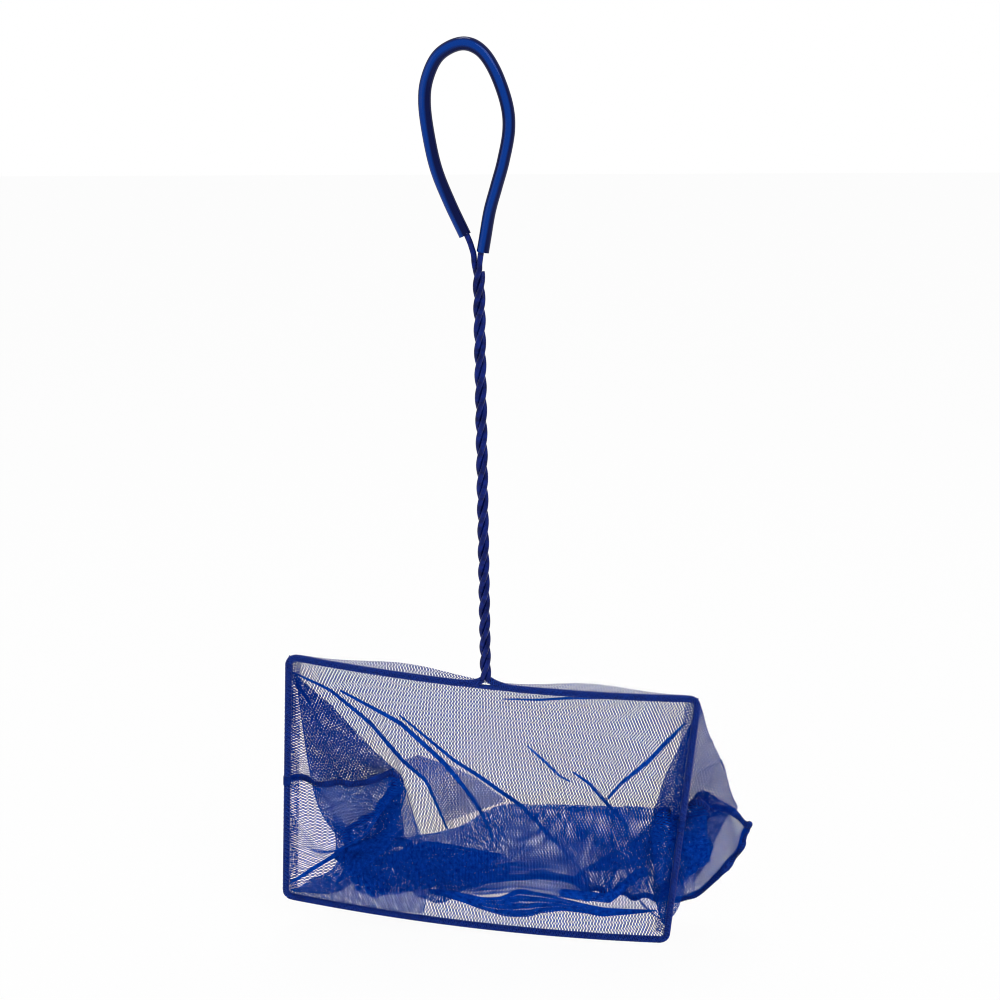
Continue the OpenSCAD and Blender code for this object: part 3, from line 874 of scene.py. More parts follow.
@dataclass
class FoldedBag:
    """The two panels of net, sewn along their sides and end, and folded behind the hoop.

    The cloth is a grid in the panels' own flat measures: u runs along the mouth from the left
    seam to the right one, v from the mouth to the end seam. Each guide says where a point of the
    cloth stands for the camera: u, v, then across, up and back, all in millimetres.

    Attributes:
        depth: a panel's flat depth, from the mouth to the end seam.
        cell: side of a cell of the grid.
        steps: how many steps the cloth settles for.
        rounds: how often each step mends the distances.
        drop: fall of a point in each step.
        drag: share of its speed that a point keeps.
        near: least depth behind the hoop of the lower panel's front layer.
        middle: greatest depth of that layer, and least depth of the rear one.
        back: greatest depth of the rear layer.
        far: greatest depth of the upper panel.
        swell: what the upper panel's least depth is more than near, far from its edges.
        rise: distance from the mouth over which it grows.
        beside: share of the swell beside the side seams.
        seam_reach: distance from a side seam over which it grows to the whole.
        turn_over: breadth of the turn from the front layer to the rear one.
        ripple: height of each of the small waves that the cloth starts with.
        ripples: their number.
        ripple_pitch: their spread of radians a millimetre.
        ripple_rise: distance from the mouth over which they grow.
        pin: share by which a seam's guide draws its point in each round.
        early_hold: the same of a panel's guide at first.
        late_hold: the same of a panel's guide at the end.
        early_share: share of the steps that are early ones.
        crest_hold: share by which the top fold is drawn to its crest.
        crest_span: the u between which it is.
        above_rail: least height of the net over the bottom rail.
        left_out: rows and columns along the grid's edges that give no depth to the folds.
        net_springs, bend_springs: for each kind of pair, the steps on the grid, the distance in
            cells, and how strongly a pair too close parts and one too far apart comes together.
        left, right, end: guides of the two side seams and of the end seam.
        upper_inside: guides inside the upper panel.
        top_fold: guides along the lower panel's top fold.
        crest: the line up to which that fold stands, as (across, up).
        slack: guides of the slack net below it.
    """

    depth: float = 150.0
    cell: float = 2.5
    steps: int = 200
    rounds: int = 6
    drop: float = 0.03
    drag: float = 0.90
    near: float = 1.8
    middle: float = 10.0
    back: float = 23.0
    far: float = 30.0
    swell: float = 21.0
    rise: float = 38.0
    beside: float = 0.45
    seam_reach: float = 60.0
    turn_over: float = 8.0
    seed: int = 7
    ripple: float = 0.2
    ripples: int = 60
    ripple_pitch: float = 0.09
    ripple_rise: float = 20.0
    pin: float = 0.8
    early_hold: float = 0.5
    late_hold: float = 0.15
    early_share: float = 0.6
    crest_hold: float = 0.5
    crest_span: tuple[float, float] = (165.0, 330.0)
    above_rail: float = 2.0
    left_out: tuple[int, int] = (2, 4)
    net_springs: tuple = ((((0, 1), (1, 0)), 1.0, 0.25, 1.0), (((1, 1), (-1, 1)), math.sqrt(2), 0.1, 0.4))
    bend_springs: tuple = ((((0, 2), (2, 0)), 2.0, 0.22, 0.0), (((0, 4), (4, 0)), 4.0, 0.12, 0.0))
    left: list = field(default_factory=lambda: [
        (0, 37.5, -92, -82, 9), (0, 75, -59, -69, 12), (0, 97.5, -61, -88, 16), (0, 115, -66, -101, 18),
        (0, 127.5, -75, -108, 20), (0, 140, -83, -114, 22), (0, 150, -87, -122, 23)])
    right: list = field(default_factory=lambda: [
        (425, 30, 114, -83, 8.5), (425, 65, 124, -80, 8.5), (425, 100, 131, -75, 11),
        (425, 117.5, 146, -70, 15), (425, 127.5, 155, -69, 19), (425, 135, 160, -75, 20.5),
        (425, 150, 167, -80, 23)])
    end: list = field(default_factory=lambda: [
        (45, 150, -80, -136, 23), (87.5, 150, -71, -141, 23), (130, 150, -45, -137, 23),
        (170, 150, -25, -142, 23), (215, 150, 2, -144, 23), (285, 150, 73, -149, 23),
        (302.5, 150, 86, -155, 23), (320, 150, 101, -153, 23), (337.5, 150, 117, -150, 23),
        (350, 150, 129, -146, 23), (360, 150, 138, -140, 23), (370, 150, 146, -131, 23),
        (387.5, 150, 157, -117, 23), (400, 150, 162, -104, 23), (415, 150, 164, -91, 23)])
    upper_inside: list = field(default_factory=lambda: [
        (380, 60, 149, -42, 16), (360, 30, 137, -20, 10), (370, 45, 145, -30, 13),
        (397.5, 85, 147, -62, 19), (410, 107.5, 150, -74, 24), (415, 130, 158, -78, 25),
        (392.5, 117.5, 128, -102, 24), (345, 75, 122, -70, 21), (57.5, 27.5, -99, -27, 11),
        (37.5, 47.5, -78, -48, 14), (17.5, 67.5, -60, -68, 13), (77.5, 27.5, -110, -26, 13),
        (65, 55, -99, -54, 18), (52.5, 87.5, -88, -86, 20), (40, 115, -78, -116, 21)])
    top_fold: list = field(default_factory=lambda: [
        (20, 80, -55, -77, 11), (40, 85, -52, -84, 11), (60, 82.5, -55, -100, 11),
        (75, 80, -60, -112, 11), (87.5, 77.5, -66, -120, 11), (102.5, 62.5, -74, -127, 11),
        (115, 50, -79, -130, 11), (130, 42.5, -83, -130, 11), (152.5, 50, -60, -124, 11),
        (175, 55, -37, -119, 11), (192.5, 67.5, -19, -109, 11), (202.5, 72.5, -10, -103, 11),
        (212.5, 80, 0, -96, 11), (222.5, 87.5, 11, -88, 11), (235, 90, 24, -86, 11),
        (247.5, 90, 36, -85, 11), (260, 92.5, 49, -83, 11), (272.5, 92.5, 61, -82, 11),
        (285, 92.5, 74, -81, 11), (297.5, 92.5, 86, -80, 11), (310, 95, 98, -78, 11),
        (322.5, 95, 111, -77, 11), (347.5, 97.5, 121, -77, 12), (370, 97.5, 128, -78, 13)])
    crest: list = field(default_factory=lambda: [
        (-60, -124), (-37, -119), (-19, -109), (0, -96), (11, -88), (24, -86), (74, -81), (111, -77),
        (125, -76)])
    slack: list = field(default_factory=lambda: [
        (87.5, 122.5, -68, -164, 17), (100, 100, -82, -164, 17), (115, 85, -92, -168, 17),
        (130, 87.5, -78, -171, 17), (150, 97.5, -60, -172, 17), (175, 107.5, -38, -172, 17),
        (192.5, 117.5, -19, -160, 17), (212.5, 137.5, 0, -154, 18), (392.5, 117.5, 127, -104, 20),
        (405, 105, 128, -90, 18), (375, 130, 127, -122, 21)])

    def __post_init__(self) -> None:
        """Lays out the flat grid."""
        self.rows = int(self.depth / self.cell) + 1
        self.cols = int(HOOP.mouth / self.cell) + 1
        self.u, self.v = np.meshgrid(np.arange(self.cols) * self.cell, np.arange(self.rows) * self.cell)
        self.cloth = np.zeros((2, self.rows, self.cols, 3))

    def guides(self, rows: list) -> tuple[Array, Array]:
        """Flat places and standing places of a list of guides."""
        a = np.array(rows, float)
        return a[:, :2], HOOP.seen(a[:, 2], a[:, 3], a[:, 4])

    def start(self, half: Panel) -> Array:
        """First shape of a panel: the smooth surface through its guides and its mouth.

        Each coordinate is a plane plus a weighted sum of the flat distances to the guides, with
        the weights solved so that it passes through every one.

        Args:
            half: the panel.

        Returns:
            A point for each row and column of the grid.
        """
        inside = self.upper_inside if half is Panel.UPPER else self.top_fold + self.slack
        flat, stand = self.guides(self.left + self.right + self.end + inside)
        side_points, rail_points = 8, 17
        corner = HOOP.side + HOOP.width
        mouth = np.concatenate([np.linspace(0, HOOP.side, side_points),
                                np.linspace(HOOP.side, corner, rail_points)[1:],
                                np.linspace(corner, HOOP.mouth, side_points)[1:]])
        flat = np.vstack([flat, np.stack([mouth, 0 * mouth], -1)])
        stand = np.vstack([stand, HOOP.mouth_edge(mouth, half)])
        n = len(flat)
        system = np.zeros((n + 3, n + 3))
        system[:n, :n] = np.linalg.norm(flat[:, None] - flat[None], axis=-1)
        system[:n, n], system[:n, n + 1:] = 1, flat
        system[n, :n], system[n + 1:, :n] = 1, flat.T
        weights = np.linalg.solve(system, np.vstack([stand, np.zeros((3, 3))]))
        at = np.stack([self.u.ravel(), self.v.ravel()], -1)
        reach = np.linalg.norm(at[:, None] - flat[None], axis=-1)
        return (reach @ weights[:n] + weights[n] + at @ weights[n + 1:]).reshape(self.rows, self.cols, 3)

    def pairs(self, down: int, over: int) -> list:
        """Pairs of grid points a fixed step apart, in groups in which no point comes twice.

        Args:
            down: rows from the one to the other.
            over: columns from the one to the other.

        Returns:
            For each group, where its first and its second points are in the grid.
        """
        every = slice(None)
        if over:
            rows = (slice(max(0, -down), self.rows - max(0, down)),
                    slice(max(0, down), self.rows + min(0, down)))
            starts = [np.arange(k, self.cols - over, 2 * over) for k in range(2 * over)]
            return [((every, rows[0], c), (every, rows[1], c + over)) for c in starts]
        starts = [np.arange(k, self.rows - down, 2 * down) for k in range(2 * down)]
        return [((every, r, every), (every, r + down, every)) for r in starts]

    def springs(self, kinds: tuple) -> list:
        """Groups of pairs, each with its flat distance and how strongly it parts and closes."""
        return [(group, self.cell * cells, push, pull) for steps, cells, push, pull in kinds
                for down, over in steps for group in self.pairs(down, over)]

    def stack(self) -> tuple[Array, Array]:
        """How near and how far back each grid point may lie, so that the layers don't cross.

        The lower panel's front layer is nearest, its rear layer is behind its top fold, and the
        upper panel swells behind both: near + swell (1 - exp(-v / rise)), less beside the seams.

        Returns:
            The least and the greatest depths, for each panel.
        """
        fold = np.array(self.top_fold, float)
        fold_v = np.interp(self.u, fold[:, 0], fold[:, 1])
        rear = ease((self.v - fold_v + self.turn_over / 2) / self.turn_over)
        inside = ease(self.u / self.seam_reach) * ease((HOOP.mouth - self.u) / self.seam_reach)
        swell = self.swell * (1 - np.exp(-self.v / self.rise)) * (self.beside + (1 - self.beside) * inside)
        nearest = np.stack([self.near + swell, self.near + (self.middle - self.near) * rear])
        furthest = np.stack([self.far + 0 * rear, self.middle + (self.back - self.middle) * rear])
        return nearest, furthest

    def rippled(self) -> Array:
        """Both panels' first shapes, with many small seeded waves in their depth.

        Returns:
            A point for each panel, row and column.
        """
        rng = np.random.default_rng(self.seed)
        p = np.stack([self.start(Panel.UPPER), self.start(Panel.LOWER)])
        for k in range(2):
            waves = rng.normal(0, self.ripple_pitch, (self.ripples, 2))
            shift = rng.uniform(0, 2 * np.pi, self.ripples)
            ripple = np.cos(waves[:, 0, None, None] * self.u + waves[:, 1, None, None] * self.v
                            + shift[:, None, None])
            p[k, ..., 1] += self.ripple * ripple.sum(0) * np.minimum(1, self.v / self.ripple_rise)
        return p

    def cells(self, rows: list, panel: int) -> tuple[Array, Array, Array, Array]:
        """Panel, row and column of each guide's grid point, and where the point stands.

        Args:
            rows: the guides.
            panel: 0 for the upper panel, 1 for the lower one.

        Returns:
            These four, each as an array.
        """
        flat, stand = self.guides(rows)
        index = np.rint(flat / self.cell).astype(int)
        return np.full(len(rows), panel), index[:, 1], index[:, 0], stand

    def settle(self) -> None:
        """Lets the cloth fall into its folds.

        Each step moves every point on by its own drag-damped speed and a small drop, then mends
        the distances between grid points in turn: a pair that is too far apart comes together
        fully, one that is too close parts weakly, so the net gathers but doesn't stretch. Points
        two and four cells apart part weakly as well, which keeps the folds round. The seams'
        points are shared by both panels, and the guides hold them where the camera sees them.
        """
        p = self.rippled()
        last = p.copy()
        free = np.ones(p.shape[:3])
        free[:, 0] = 0
        pins = self.cells(self.left + self.right + self.end, 0)
        high, low = self.cells(self.upper_inside, 0), self.cells(self.top_fold + self.slack, 1)
        hints = tuple(np.concatenate([a, b]) for a, b in zip(high, low))
        net, bend = self.springs(self.net_springs), self.springs(self.bend_springs)
        mouth = np.stack([HOOP.mouth_edge(self.u[0], Panel.UPPER), HOOP.mouth_edge(self.u[0], Panel.LOWER)])
        shared = ((slice(None), 0), (slice(None), self.cols - 1), (self.rows - 1, slice(None)))
        nearest, furthest = self.stack()
        crest = np.array(self.crest, float)
        crest = HOOP.seen(crest[:, 0], crest[:, 1], self.middle)
        under_crest = (self.u > self.crest_span[0]) & (self.u < self.crest_span[1])
        fold = np.array(self.top_fold, float)
        along = np.arange(self.cols)[under_crest[0]]
        held = np.rint(np.interp(along * self.cell, fold[:, 0], fold[:, 1]) / self.cell).astype(int)
        for step in range(self.steps):
            moved = p + (p - last) * self.drag
            last = p
            p = moved
            p[..., 2] -= self.drop * free
            hold = self.early_hold if step < self.steps * self.early_share else self.late_hold
            for turn in range(self.rounds):
                for (a, b), rest, push, pull in net + (bend if turn % 2 == 0 else []):
                    gap = p[b] - p[a]
                    long = np.sqrt((gap * gap).sum(-1)) + TINY
                    off = (long - rest) / long
                    off = np.where(off > 0, off * pull, off * push) / np.maximum(free[a] + free[b], TINY)
                    p[a] += (free[a] * off)[..., None] * gap
                    p[b] -= (free[b] * off)[..., None] * gap
                p[pins[:3]] += self.pin * (pins[3] - p[pins[:3]])
                p[hints[:3]] += hold * (hints[3] - p[hints[:3]])
                for edge in shared:
                    p[(0, *edge)] = p[(1, *edge)] = (p[(0, *edge)] + p[(1, *edge)]) / 2
                p[..., 1] = np.clip(p[..., 1], nearest, furthest)
                x = np.clip(p[..., 0], -HOOP.width / 2, HOOP.width / 2)
                p[..., 2] = np.maximum(p[..., 2], HOOP.rail(x) - HOOP.height + self.above_rail)
                lift = np.interp(p[1, held, along, 0], crest[:, 0], crest[:, 2])
                p[1, held, along, 2] += self.crest_hold * (lift - p[1, held, along, 2])
                top = np.interp(p[1, ..., 0], crest[:, 0], crest[:, 2])
                p[1, ..., 2] = np.where(under_crest, np.minimum(p[1, ..., 2], top), p[1, ..., 2])
                p[:, 0] = mouth
        self.cloth = p
        LOG.info("bag settled: mean thread stretch %.3f",
                 float(np.linalg.norm(np.diff(p, axis=1), axis=-1).mean() / self.cell))

    def panel(self, half: Panel) -> Array:
        """The settled grid of one panel."""
        return self.cloth[0 if half is Panel.UPPER else 1]

    def depth_at(self, half: Panel, x: Array, z: Array) -> Array:
        """How far back the camera meets a panel's cloth at seen places (x, z).

        Each grid point, apart from those beside the mouth and the seams, is carried along its
        line of sight to the seen plane, and the nearest one there gives its depth.

        Args:
            half: the panel.
            x: places across.
            z: heights.

        Returns:
            The depths.
        """
        rows, cols = self.left_out
        grid = self.panel(half)[rows:-rows, cols:-cols].reshape(-1, 3)
        flat = HOOP.carried(grid, (HOOP.seen_depth - HOOP.eye[1]) / (grid[:, 1] - HOOP.eye[1]))
        gap = (flat[None, :, 0] - x[:, None]) ** 2 + (flat[None, :, 2] - z[:, None]) ** 2
        return grid[gap.argmin(1), 1]

    def patch(self, half: Panel, u: Array, v: Array) -> Array:
        """Points of the settled panel at flat places, by a smooth cubic between grid points.

        Args:
            half: the panel.
            u: flat places, the first measure.
            v: flat places, the second measure.

        Returns:
            Points in the plane's own coordinates.
        """
        grid = self.panel(half)
        # One point and a thousandth are kept back, so that the last place has a cell to lie in
        kept_back = 1.001
        a = np.clip(u / self.cell, 0, self.cols - kept_back)
        b = np.clip(v / self.cell, 0, self.rows - kept_back)
        i, j = a.astype(int), b.astype(int)
        f, g = a - i, b - j

        def weights(t: Array) -> list[Array]:
            """Catmull-Rom weights of four points in a row."""
            return [-0.5 * t + t * t - 0.5 * t ** 3, 1 - 2.5 * t * t + 1.5 * t ** 3,
                    0.5 * t + 2 * t * t - 1.5 * t ** 3, -0.5 * t * t + 0.5 * t ** 3]

        out = np.zeros((*np.shape(a), 3))
        for m, wb in enumerate(weights(g)):
            row = np.clip(j + m - 1, 0, self.rows - 1)
            for k, wa in enumerate(weights(f)):
                col = np.clip(i + k - 1, 0, self.cols - 1)
                out += (wa * wb)[..., None] * grid[row, col]
        return out


@dataclass
class NetMesh:
    """Knotless mesh: zigzag yarns that touch their neighbours in turn and leave pointed holes.

    Attributes:
        half_hole: half a hole's width, which is the mean distance between yarns.
        row: distance along a yarn from touching one neighbour to touching the other.
        yarn: a yarn's width.
        touch: half the distance of two touching yarns, over a yarn's width.
        crown: how proud of the surface a yarn stands, over its width.
        belly: how deep it reaches under the surface, over its width.
        uneven: spread of the yarns' places.
        probe: step over which the surface's slopes are taken.
        seed: start of the random draws.
    """

    half_hole: float = 0.95
    row: float = 1.7
    yarn: float = 0.56
    touch: float = 0.42
    crown: float = 0.30
    belly: float = 0.12
    uneven: float = 0.05
    probe: float = 0.4
    seed: int = 3

    def over(self, patch: Patch, length: float, depth: float, start: float = 0.0) -> Surface:
        """Lays the mesh over a surface.

        Yarn k runs along v; its u swings half a hole to one side at each row, so that it touches
        one neighbour at even rows and the other at odd rows. Each point carries a ring of three:
        two on the surface, square to the yarn, and one proud of it.

        Args:
            patch: the surface, a function of the arrays u and v in millimetres.
            length: extent along u.
            depth: extent along v.
            start: where u starts.

        Returns:
            The yarns' surface, open at the yarns' ends.
        """
        rng = np.random.default_rng(self.seed)
        count = max(1, int(length / (2 * self.half_hole)))
        rows = max(2, int(depth / self.row) + 1)
        j = np.arange(rows)
        middle = start + (np.arange(count) + 0.5) * length / count
        touch = self.yarn * self.touch
        swing = np.where(j % 2 == 0, touch, length / count / 2 - touch)
        u = np.concatenate([middle[:, None] + swing, middle[:, None] - swing])
        v = np.broadcast_to(j * depth / (rows - 1), u.shape)
        u = u + rng.normal(0, self.uneven, u.shape)
        v = v + rng.normal(0, self.uneven, u.shape)
        at = patch(u, v)
        e = self.probe
        normal = unit(np.cross(patch(u + e, v) - patch(u - e, v), patch(u, v + e) - patch(u, v - e)))
        side = unit(np.cross(unit(np.gradient(at, axis=1)), normal))
        w = self.yarn
        base = at - normal * w * self.belly
        rings = np.stack([base + side * w / 2, base - side * w / 2, at + normal * w * self.crown], 2)
        n = np.arange(2 * count)[:, None, None] * rows * 3 + np.arange(rows - 1)[:, None] * 3
        k = np.arange(3)
        q = (k + 1) % 3
        faces = np.stack([n + k, n + q, n + 3 + q, n + 3 + k], -1).reshape(-1, 4)
        uv = np.stack([u / HOOP.mouth, v / max(depth, 1.0)], -1)
        uv = np.repeat(uv[:, :, None], 3, 2)
        return Surface(HOOP.placed(rings.reshape(-1, 3)), faces, uv.reshape(-1, 2))


@dataclass(frozen=True)
class Winding:
    """Yarns wound round a route.

    Attributes:
        lay: advance of one turn along the route.
        starts: how many yarns.
        yarn: the yarns' thickness.
        sunk: how deep their middles lie in what they are wound on; less than 0 is proud of it.
        hand: 1 or -1, the way the yarns turn.
        step: distance between rings.
        least: least number of rings.
        sides: corners of a ring.
    """

    lay: float
    starts: int
    yarn: float
    sunk: float
    hand: int = 1
    step: float = 0.5
    least: int = 8
    sides: int = 4

    def over(self, route: Array, radius: float) -> Surface:
        """Winds the yarns.

        Point at distance s along the route: route + (radius - sunk) (cos a side + sin a up), with
        a = hand 2 pi s / lay + the start's own share of a turn.

        Args:
            route: centre line.
            radius: radius of what they are wound on.

        Returns:
            The yarns' surface.
        """
        length = length_of(route)
        n = max(self.least, int(length / self.step))
        line = spaced(route, n)
        side, up = square_to(line, BACK)
        s = np.linspace(0, length, n)
        bars = []
        for k in range(self.starts):
            a = self.hand * 2 * np.pi * s / self.lay + 2 * np.pi * k / self.starts
            outward = np.cos(a)[:, None] * side + np.sin(a)[:, None] * up
            bars.append(swept(line + (radius - self.sunk) * outward, self.yarn / 2, self.sides, outward,
                              closed_ends=False))
        return Surface.joined(bars)


@dataclass
class BagPieces:
    """The bag's visible pieces: panels of net, hem, seams, tacks and raw edges.

    Attributes:
        hem_radius: outer radius of the hem round the wire.
        hem_sunk: how much thinner its cloth is, under the yarns.
        hem_step: distance between the cloth's rings.
        vee_share: the hem's radius below the vee, over the rest's.
        vee_past: how far it runs past the vee's feet.
        vee_back: how far behind the wire's middle it lies there.
        vee_below: how far below the rail's line.
        tack_end: distance from a side seam's start at which the hems meet the tack.
        tack_reach: half a bar tack's length.
        seam_radius: mean radius of a seam's fold.
        seam_step: distance between its rings.
        seam_flat: its height over its width.
        lumpy: spread of its radius, as a share.
        lump: how many rings a lump runs over.
        allowance: width of the doubled strips behind the side rails.
        strip_in: distance of their outer edge from the rail's middle.
        strip_back: their depth behind the hoop.
        strip_end: distance of their ends from the rail's ends.
        strip_wave: height of their waves.
        strip_runs: length over 2 pi of the waves of the left and the right one.
        strip_lean: how much deeper they lie for each millimetre inwards.
        fringe_end: distance of the fringe from the top rail's ends.
        fringe_deep: yarn length in the fringe.
        fringe_back: its depth behind the hoop.
        fringe_up: height of its foot over the rail's middle.
        fringe_lean: how much deeper it lies for each millimetre of yarn.
        humps: for each hump of the fringe, its place, breadth and share of the yarns' length.
    """

    bag: FoldedBag
    wire: BentWire
    mesh: NetMesh = field(default_factory=NetMesh)
    hem_radius: float = 2.0
    hem_sunk: float = 0.12
    hem_step: float = 1.2
    hem_yarns: tuple[Winding, ...] = (Winding(9.0, 6, 0.72, 0.15), Winding(12.0, 4, 0.504, 0.1, hand=-1))
    vee_share: float = 0.62
    vee_past: float = 1.0
    vee_back: float = 0.6
    vee_below: float = 1.0
    tack_end: float = 3.3
    tack_reach: float = 3.2
    tack_thread: Winding = Winding(0.62, 1, 0.6, -0.25, step=0.05)
    seam_radius: float = 2.05
    seam_step: float = 0.8
    seam_flat: float = 0.75
    seam_stitches: Winding = Winding(3.4, 2, 0.55, 0.15, step=0.4)
    lumpy: float = 0.16
    lump: int = 9
    seed: int = 11
    allowance: float = 6.0
    strip_in: float = 1.0
    strip_back: float = 2.6
    strip_end: float = 3.0
    strip_wave: float = 0.25
    strip_runs: tuple[float, float] = (7.0, 8.0)
    strip_lean: float = 0.1
    fringe_end: float = 6.0
    fringe_deep: float = 7.0
    fringe_back: float = 2.4
    fringe_up: float = 0.5
    fringe_lean: float = 0.12
    humps: tuple = ((-52.0, 38.0, 0.9), (60.0, 34.0, 0.75))
    # Corners of a ring of the hem and of a seam, points along the hem below the vee and along a
    # tack, and how many points of the cloth a seam's line is averaged over
    hem_sides: int = 16
    seam_sides: int = 10
    vee_points: int = 40
    tack_points: int = 60
    calm: int = 3

    def panels(self) -> list[bpy.types.Object]:
        """The two panels, each in a left and a right half so that no piece grows too large.

        Returns:
            The pieces.
        """
        # The lower panel takes the copy of the thread painted lighter as lit
        finishes = {Panel.UPPER: NET_THREAD.material(), Panel.LOWER: LIT_NET_THREAD.material()}
        made = []
        for half, finish in finishes.items():
            name = half.name.lower()
            for part, start in (("left", 0.0), ("right", HOOP.mouth / 2)):
                surface = self.mesh.over(partial(self.bag.patch, half), HOOP.mouth / 2, self.bag.depth, start)
                piece = dress(surface.piece(f"{name}_net_{part}", finish), "net", f"{name}_panel")
                made.append(piece)
        return made

    def upper_hem(self, side: int) -> Array:
        """Half the upper hem's line: from the vee's top along the rail and down to the tack."""
        return np.vstack([self.wire.vee(side)[-2::-1], self.wire.upper_run(side)[1:],
                          self.wire.side_point(side, self.tack_end)])

    def under_vee(self) -> Array:
        """The hem's fold where it runs straight on below the vee.

        Returns:
            Points of the centre line, one a row.
        """
        reach = self.wire.vee_reach + self.vee_past
        x = np.linspace(-reach - HOOP.shift, reach - HOOP.shift, self.vee_points)
        return HOOP.turned(np.stack([x, 0 * x + self.vee_back, HOOP.rail(x) - self.vee_below], -1))

    def hem(self) -> list[bpy.types.Object]:
        """The net wrapped round the hoop: a close cloth tube painted dark as shade between the yarns, with
        two sets of yarns wound over it.

        Returns:
            The pieces.
        """
        lower = np.vstack([self.wire.side_point(-1, -self.tack_end), self.wire.lower_run(),
                           self.wire.side_point(1, -self.tack_end)])
        runs = {"upper_hem_left": self.upper_hem(-1), "upper_hem_right": self.upper_hem(1),
                "lower_hem": lower, "vee_hem": self.under_vee()}
        # The cloth tube is painted dark as shade between the yarns
        cloth, yarns = HEM_SHADE_AND_STITCH.material(), HEM_THREAD.material()
        made = []
        for name, run in runs.items():
            node, share = ("upper_hem_left", self.vee_share) if name == "vee_hem" else (name, 1.0)
            route = run - HOOK
            route = spaced(route, int(length_of(route) / self.hem_step))
            thick = self.hem_radius * share
            tube = swept(route, thick - self.hem_sunk, self.hem_sides, BACK).piece(f"{name}_wrap", cloth)
            wound = Surface.joined([winding.over(route, thick) for winding in self.hem_yarns])
            made += [dress(piece, "hem", node) for piece in (tube, wound.piece(f"{name}_yarns", yarns))]
        return made

    def seams(self) -> list[bpy.types.Object]:
        """The three overlocked seams along the settled cloth's edges, and their stitches.

        Returns:
            The pieces.
        """
        grid = self.bag.panel(Panel.UPPER)
        lines = {"side_seam_left": grid[1:, 0], "side_seam_right": grid[1:, -1], "end_seam": grid[-1]}
        # The stitches' own dark thread shares the material of the hem's painted shade
        core, stitches = SEAM_THREAD.material(), HEM_SHADE_AND_STITCH.material()
        rng = np.random.default_rng(self.seed)
        lump = np.ones(self.lump) / math.sqrt(self.lump)
        made = []
        for node, line in lines.items():
            smooth = np.stack([averaged(line[:, k], self.calm) for k in range(3)], -1)
            route = HOOP.placed(spaced(smooth, int(length_of(smooth) / self.seam_step)))
            lumps = np.convolve(rng.normal(0, 1, len(route) + self.lump - 1), lump, "valid")
            cord = swept(route, self.seam_radius * (1 + self.lumpy * lumps), self.seam_sides, BACK,
                         flat=self.seam_flat)
            cover = self.seam_stitches.over(route, self.seam_radius)
            pieces = (cord.piece(f"{node}_fold", core), cover.piece(f"{node}_stitches", stitches))
            made += [dress(piece, "seam", node) for piece in pieces]
        return made

    def tacks(self) -> list[bpy.types.Object]:
        """The bar tacks: close turns of thread round each side rail where its seam starts.

        Returns:
            The pieces.
        """
        finish = SEAM_THREAD.material()
        made = []
        for side, name in ((-1, "left"), (1, "right")):
            ends = np.vstack([self.wire.side_point(side, h) for h in (-self.tack_reach, self.tack_reach)])
            turns = self.tack_thread.over(spaced(ends - HOOK, self.tack_points), self.hem_radius)
            made.append(dress(turns.piece(f"bar_tack_{name}", finish), "seam", f"seam_tack_{name}"))
        return made

    def strip(self, side: int, u: Array, v: Array) -> Array:
        """The hem's raw edge behind a side rail: down the rail with u, inwards with v, in waves.

        Args:
            side: -1 for the left, 1 for the right.
            u: flat places, the first measure.
            v: flat places, the second measure.

        Returns:
            Points in the plane's own coordinates.
        """
        run = self.strip_runs[0 if side < 0 else 1]
        across = side * (HOOP.width / 2 - self.strip_in - v)
        back = self.strip_back + self.strip_wave * np.sin(u / run) + self.strip_lean * v
        return np.stack([across, back, HOOP.bow - self.strip_end - u], -1)

    def fringe(self, u: Array, v: Array) -> Array:
        """The raw edge over the top rail: two low humps, one on each side of the vee.

        Args:
            u: flat places, the first measure.
            v: flat places, the second measure.

        Returns:
            Points in the plane's own coordinates.
        """
        x = u - HOOP.width / 2
        tall = sum(share * np.exp(-((x - place) / broad) ** 2) for place, broad, share in self.humps)
        back = self.fringe_back + self.fringe_lean * v
        return np.stack([x, back, HOOP.rail(x) + self.fringe_up + v * tall], -1)

    def raw_edges(self) -> list[bpy.types.Object]:
        """The hem's raw edges: doubled strips inside the side rails and a fringe over the top rail.

        Returns:
            The pieces.
        """
        finish = NET_THREAD.material()
        high, wide = HOOP.height - 2 * self.strip_end, HOOP.width - 2 * self.fringe_end
        edges = (
            ("hem_edge_left", partial(self.strip, -1), high, self.allowance, 0.0, "upper_hem_left"),
            ("hem_edge_right", partial(self.strip, 1), high, self.allowance, 0.0, "upper_hem_right"),
            ("hem_fringe", self.fringe, wide, self.fringe_deep, self.fringe_end, "upper_hem_left"))
        return [dress(self.mesh.over(patch, length, depth, start).piece(name, finish), "hem", node)
                for name, patch, length, depth, start, node in edges]


@dataclass(frozen=True)
class Fold:
    """A place where the net lies on itself: two edges as the camera sees them, and its layers."""

    name: str
    half: Panel
    one: tuple
    other: tuple
    layers: int = 2


def pleat(name: str, half: Panel, line: tuple, wide: float, layers: int = 2) -> Fold:
    """A narrow fold along a line, widest in its middle.

    Its width at a place is wide sin(a)^fullness, where a runs from blunt to pi - blunt.

    Args:
        name: the piece's name.
        half: the panel that it lies on.
        line: its middle, as the camera sees it.
        wide: its greatest width.
        layers: how many layers of net it has.

    Returns:
        The fold.
    """
    points, blunt, fullness = 24, 0.25, 0.6
    a = spaced(np.array([(x, 0.0, z) for x, z in line]), points)
    along = unit(np.gradient(a, axis=0))
    out = np.stack([-along[:, 2], 0 * along[:, 0], along[:, 0]], -1)
    half_wide = (wide / 2 * np.sin(np.linspace(blunt, math.pi - blunt, points)) ** fullness)[:, None]
    one, other = a + out * half_wide, a - out * half_wide
    return Fold(name, half, tuple(map(tuple, one[:, [0, 2]])), tuple(map(tuple, other[:, [0, 2]])), layers)


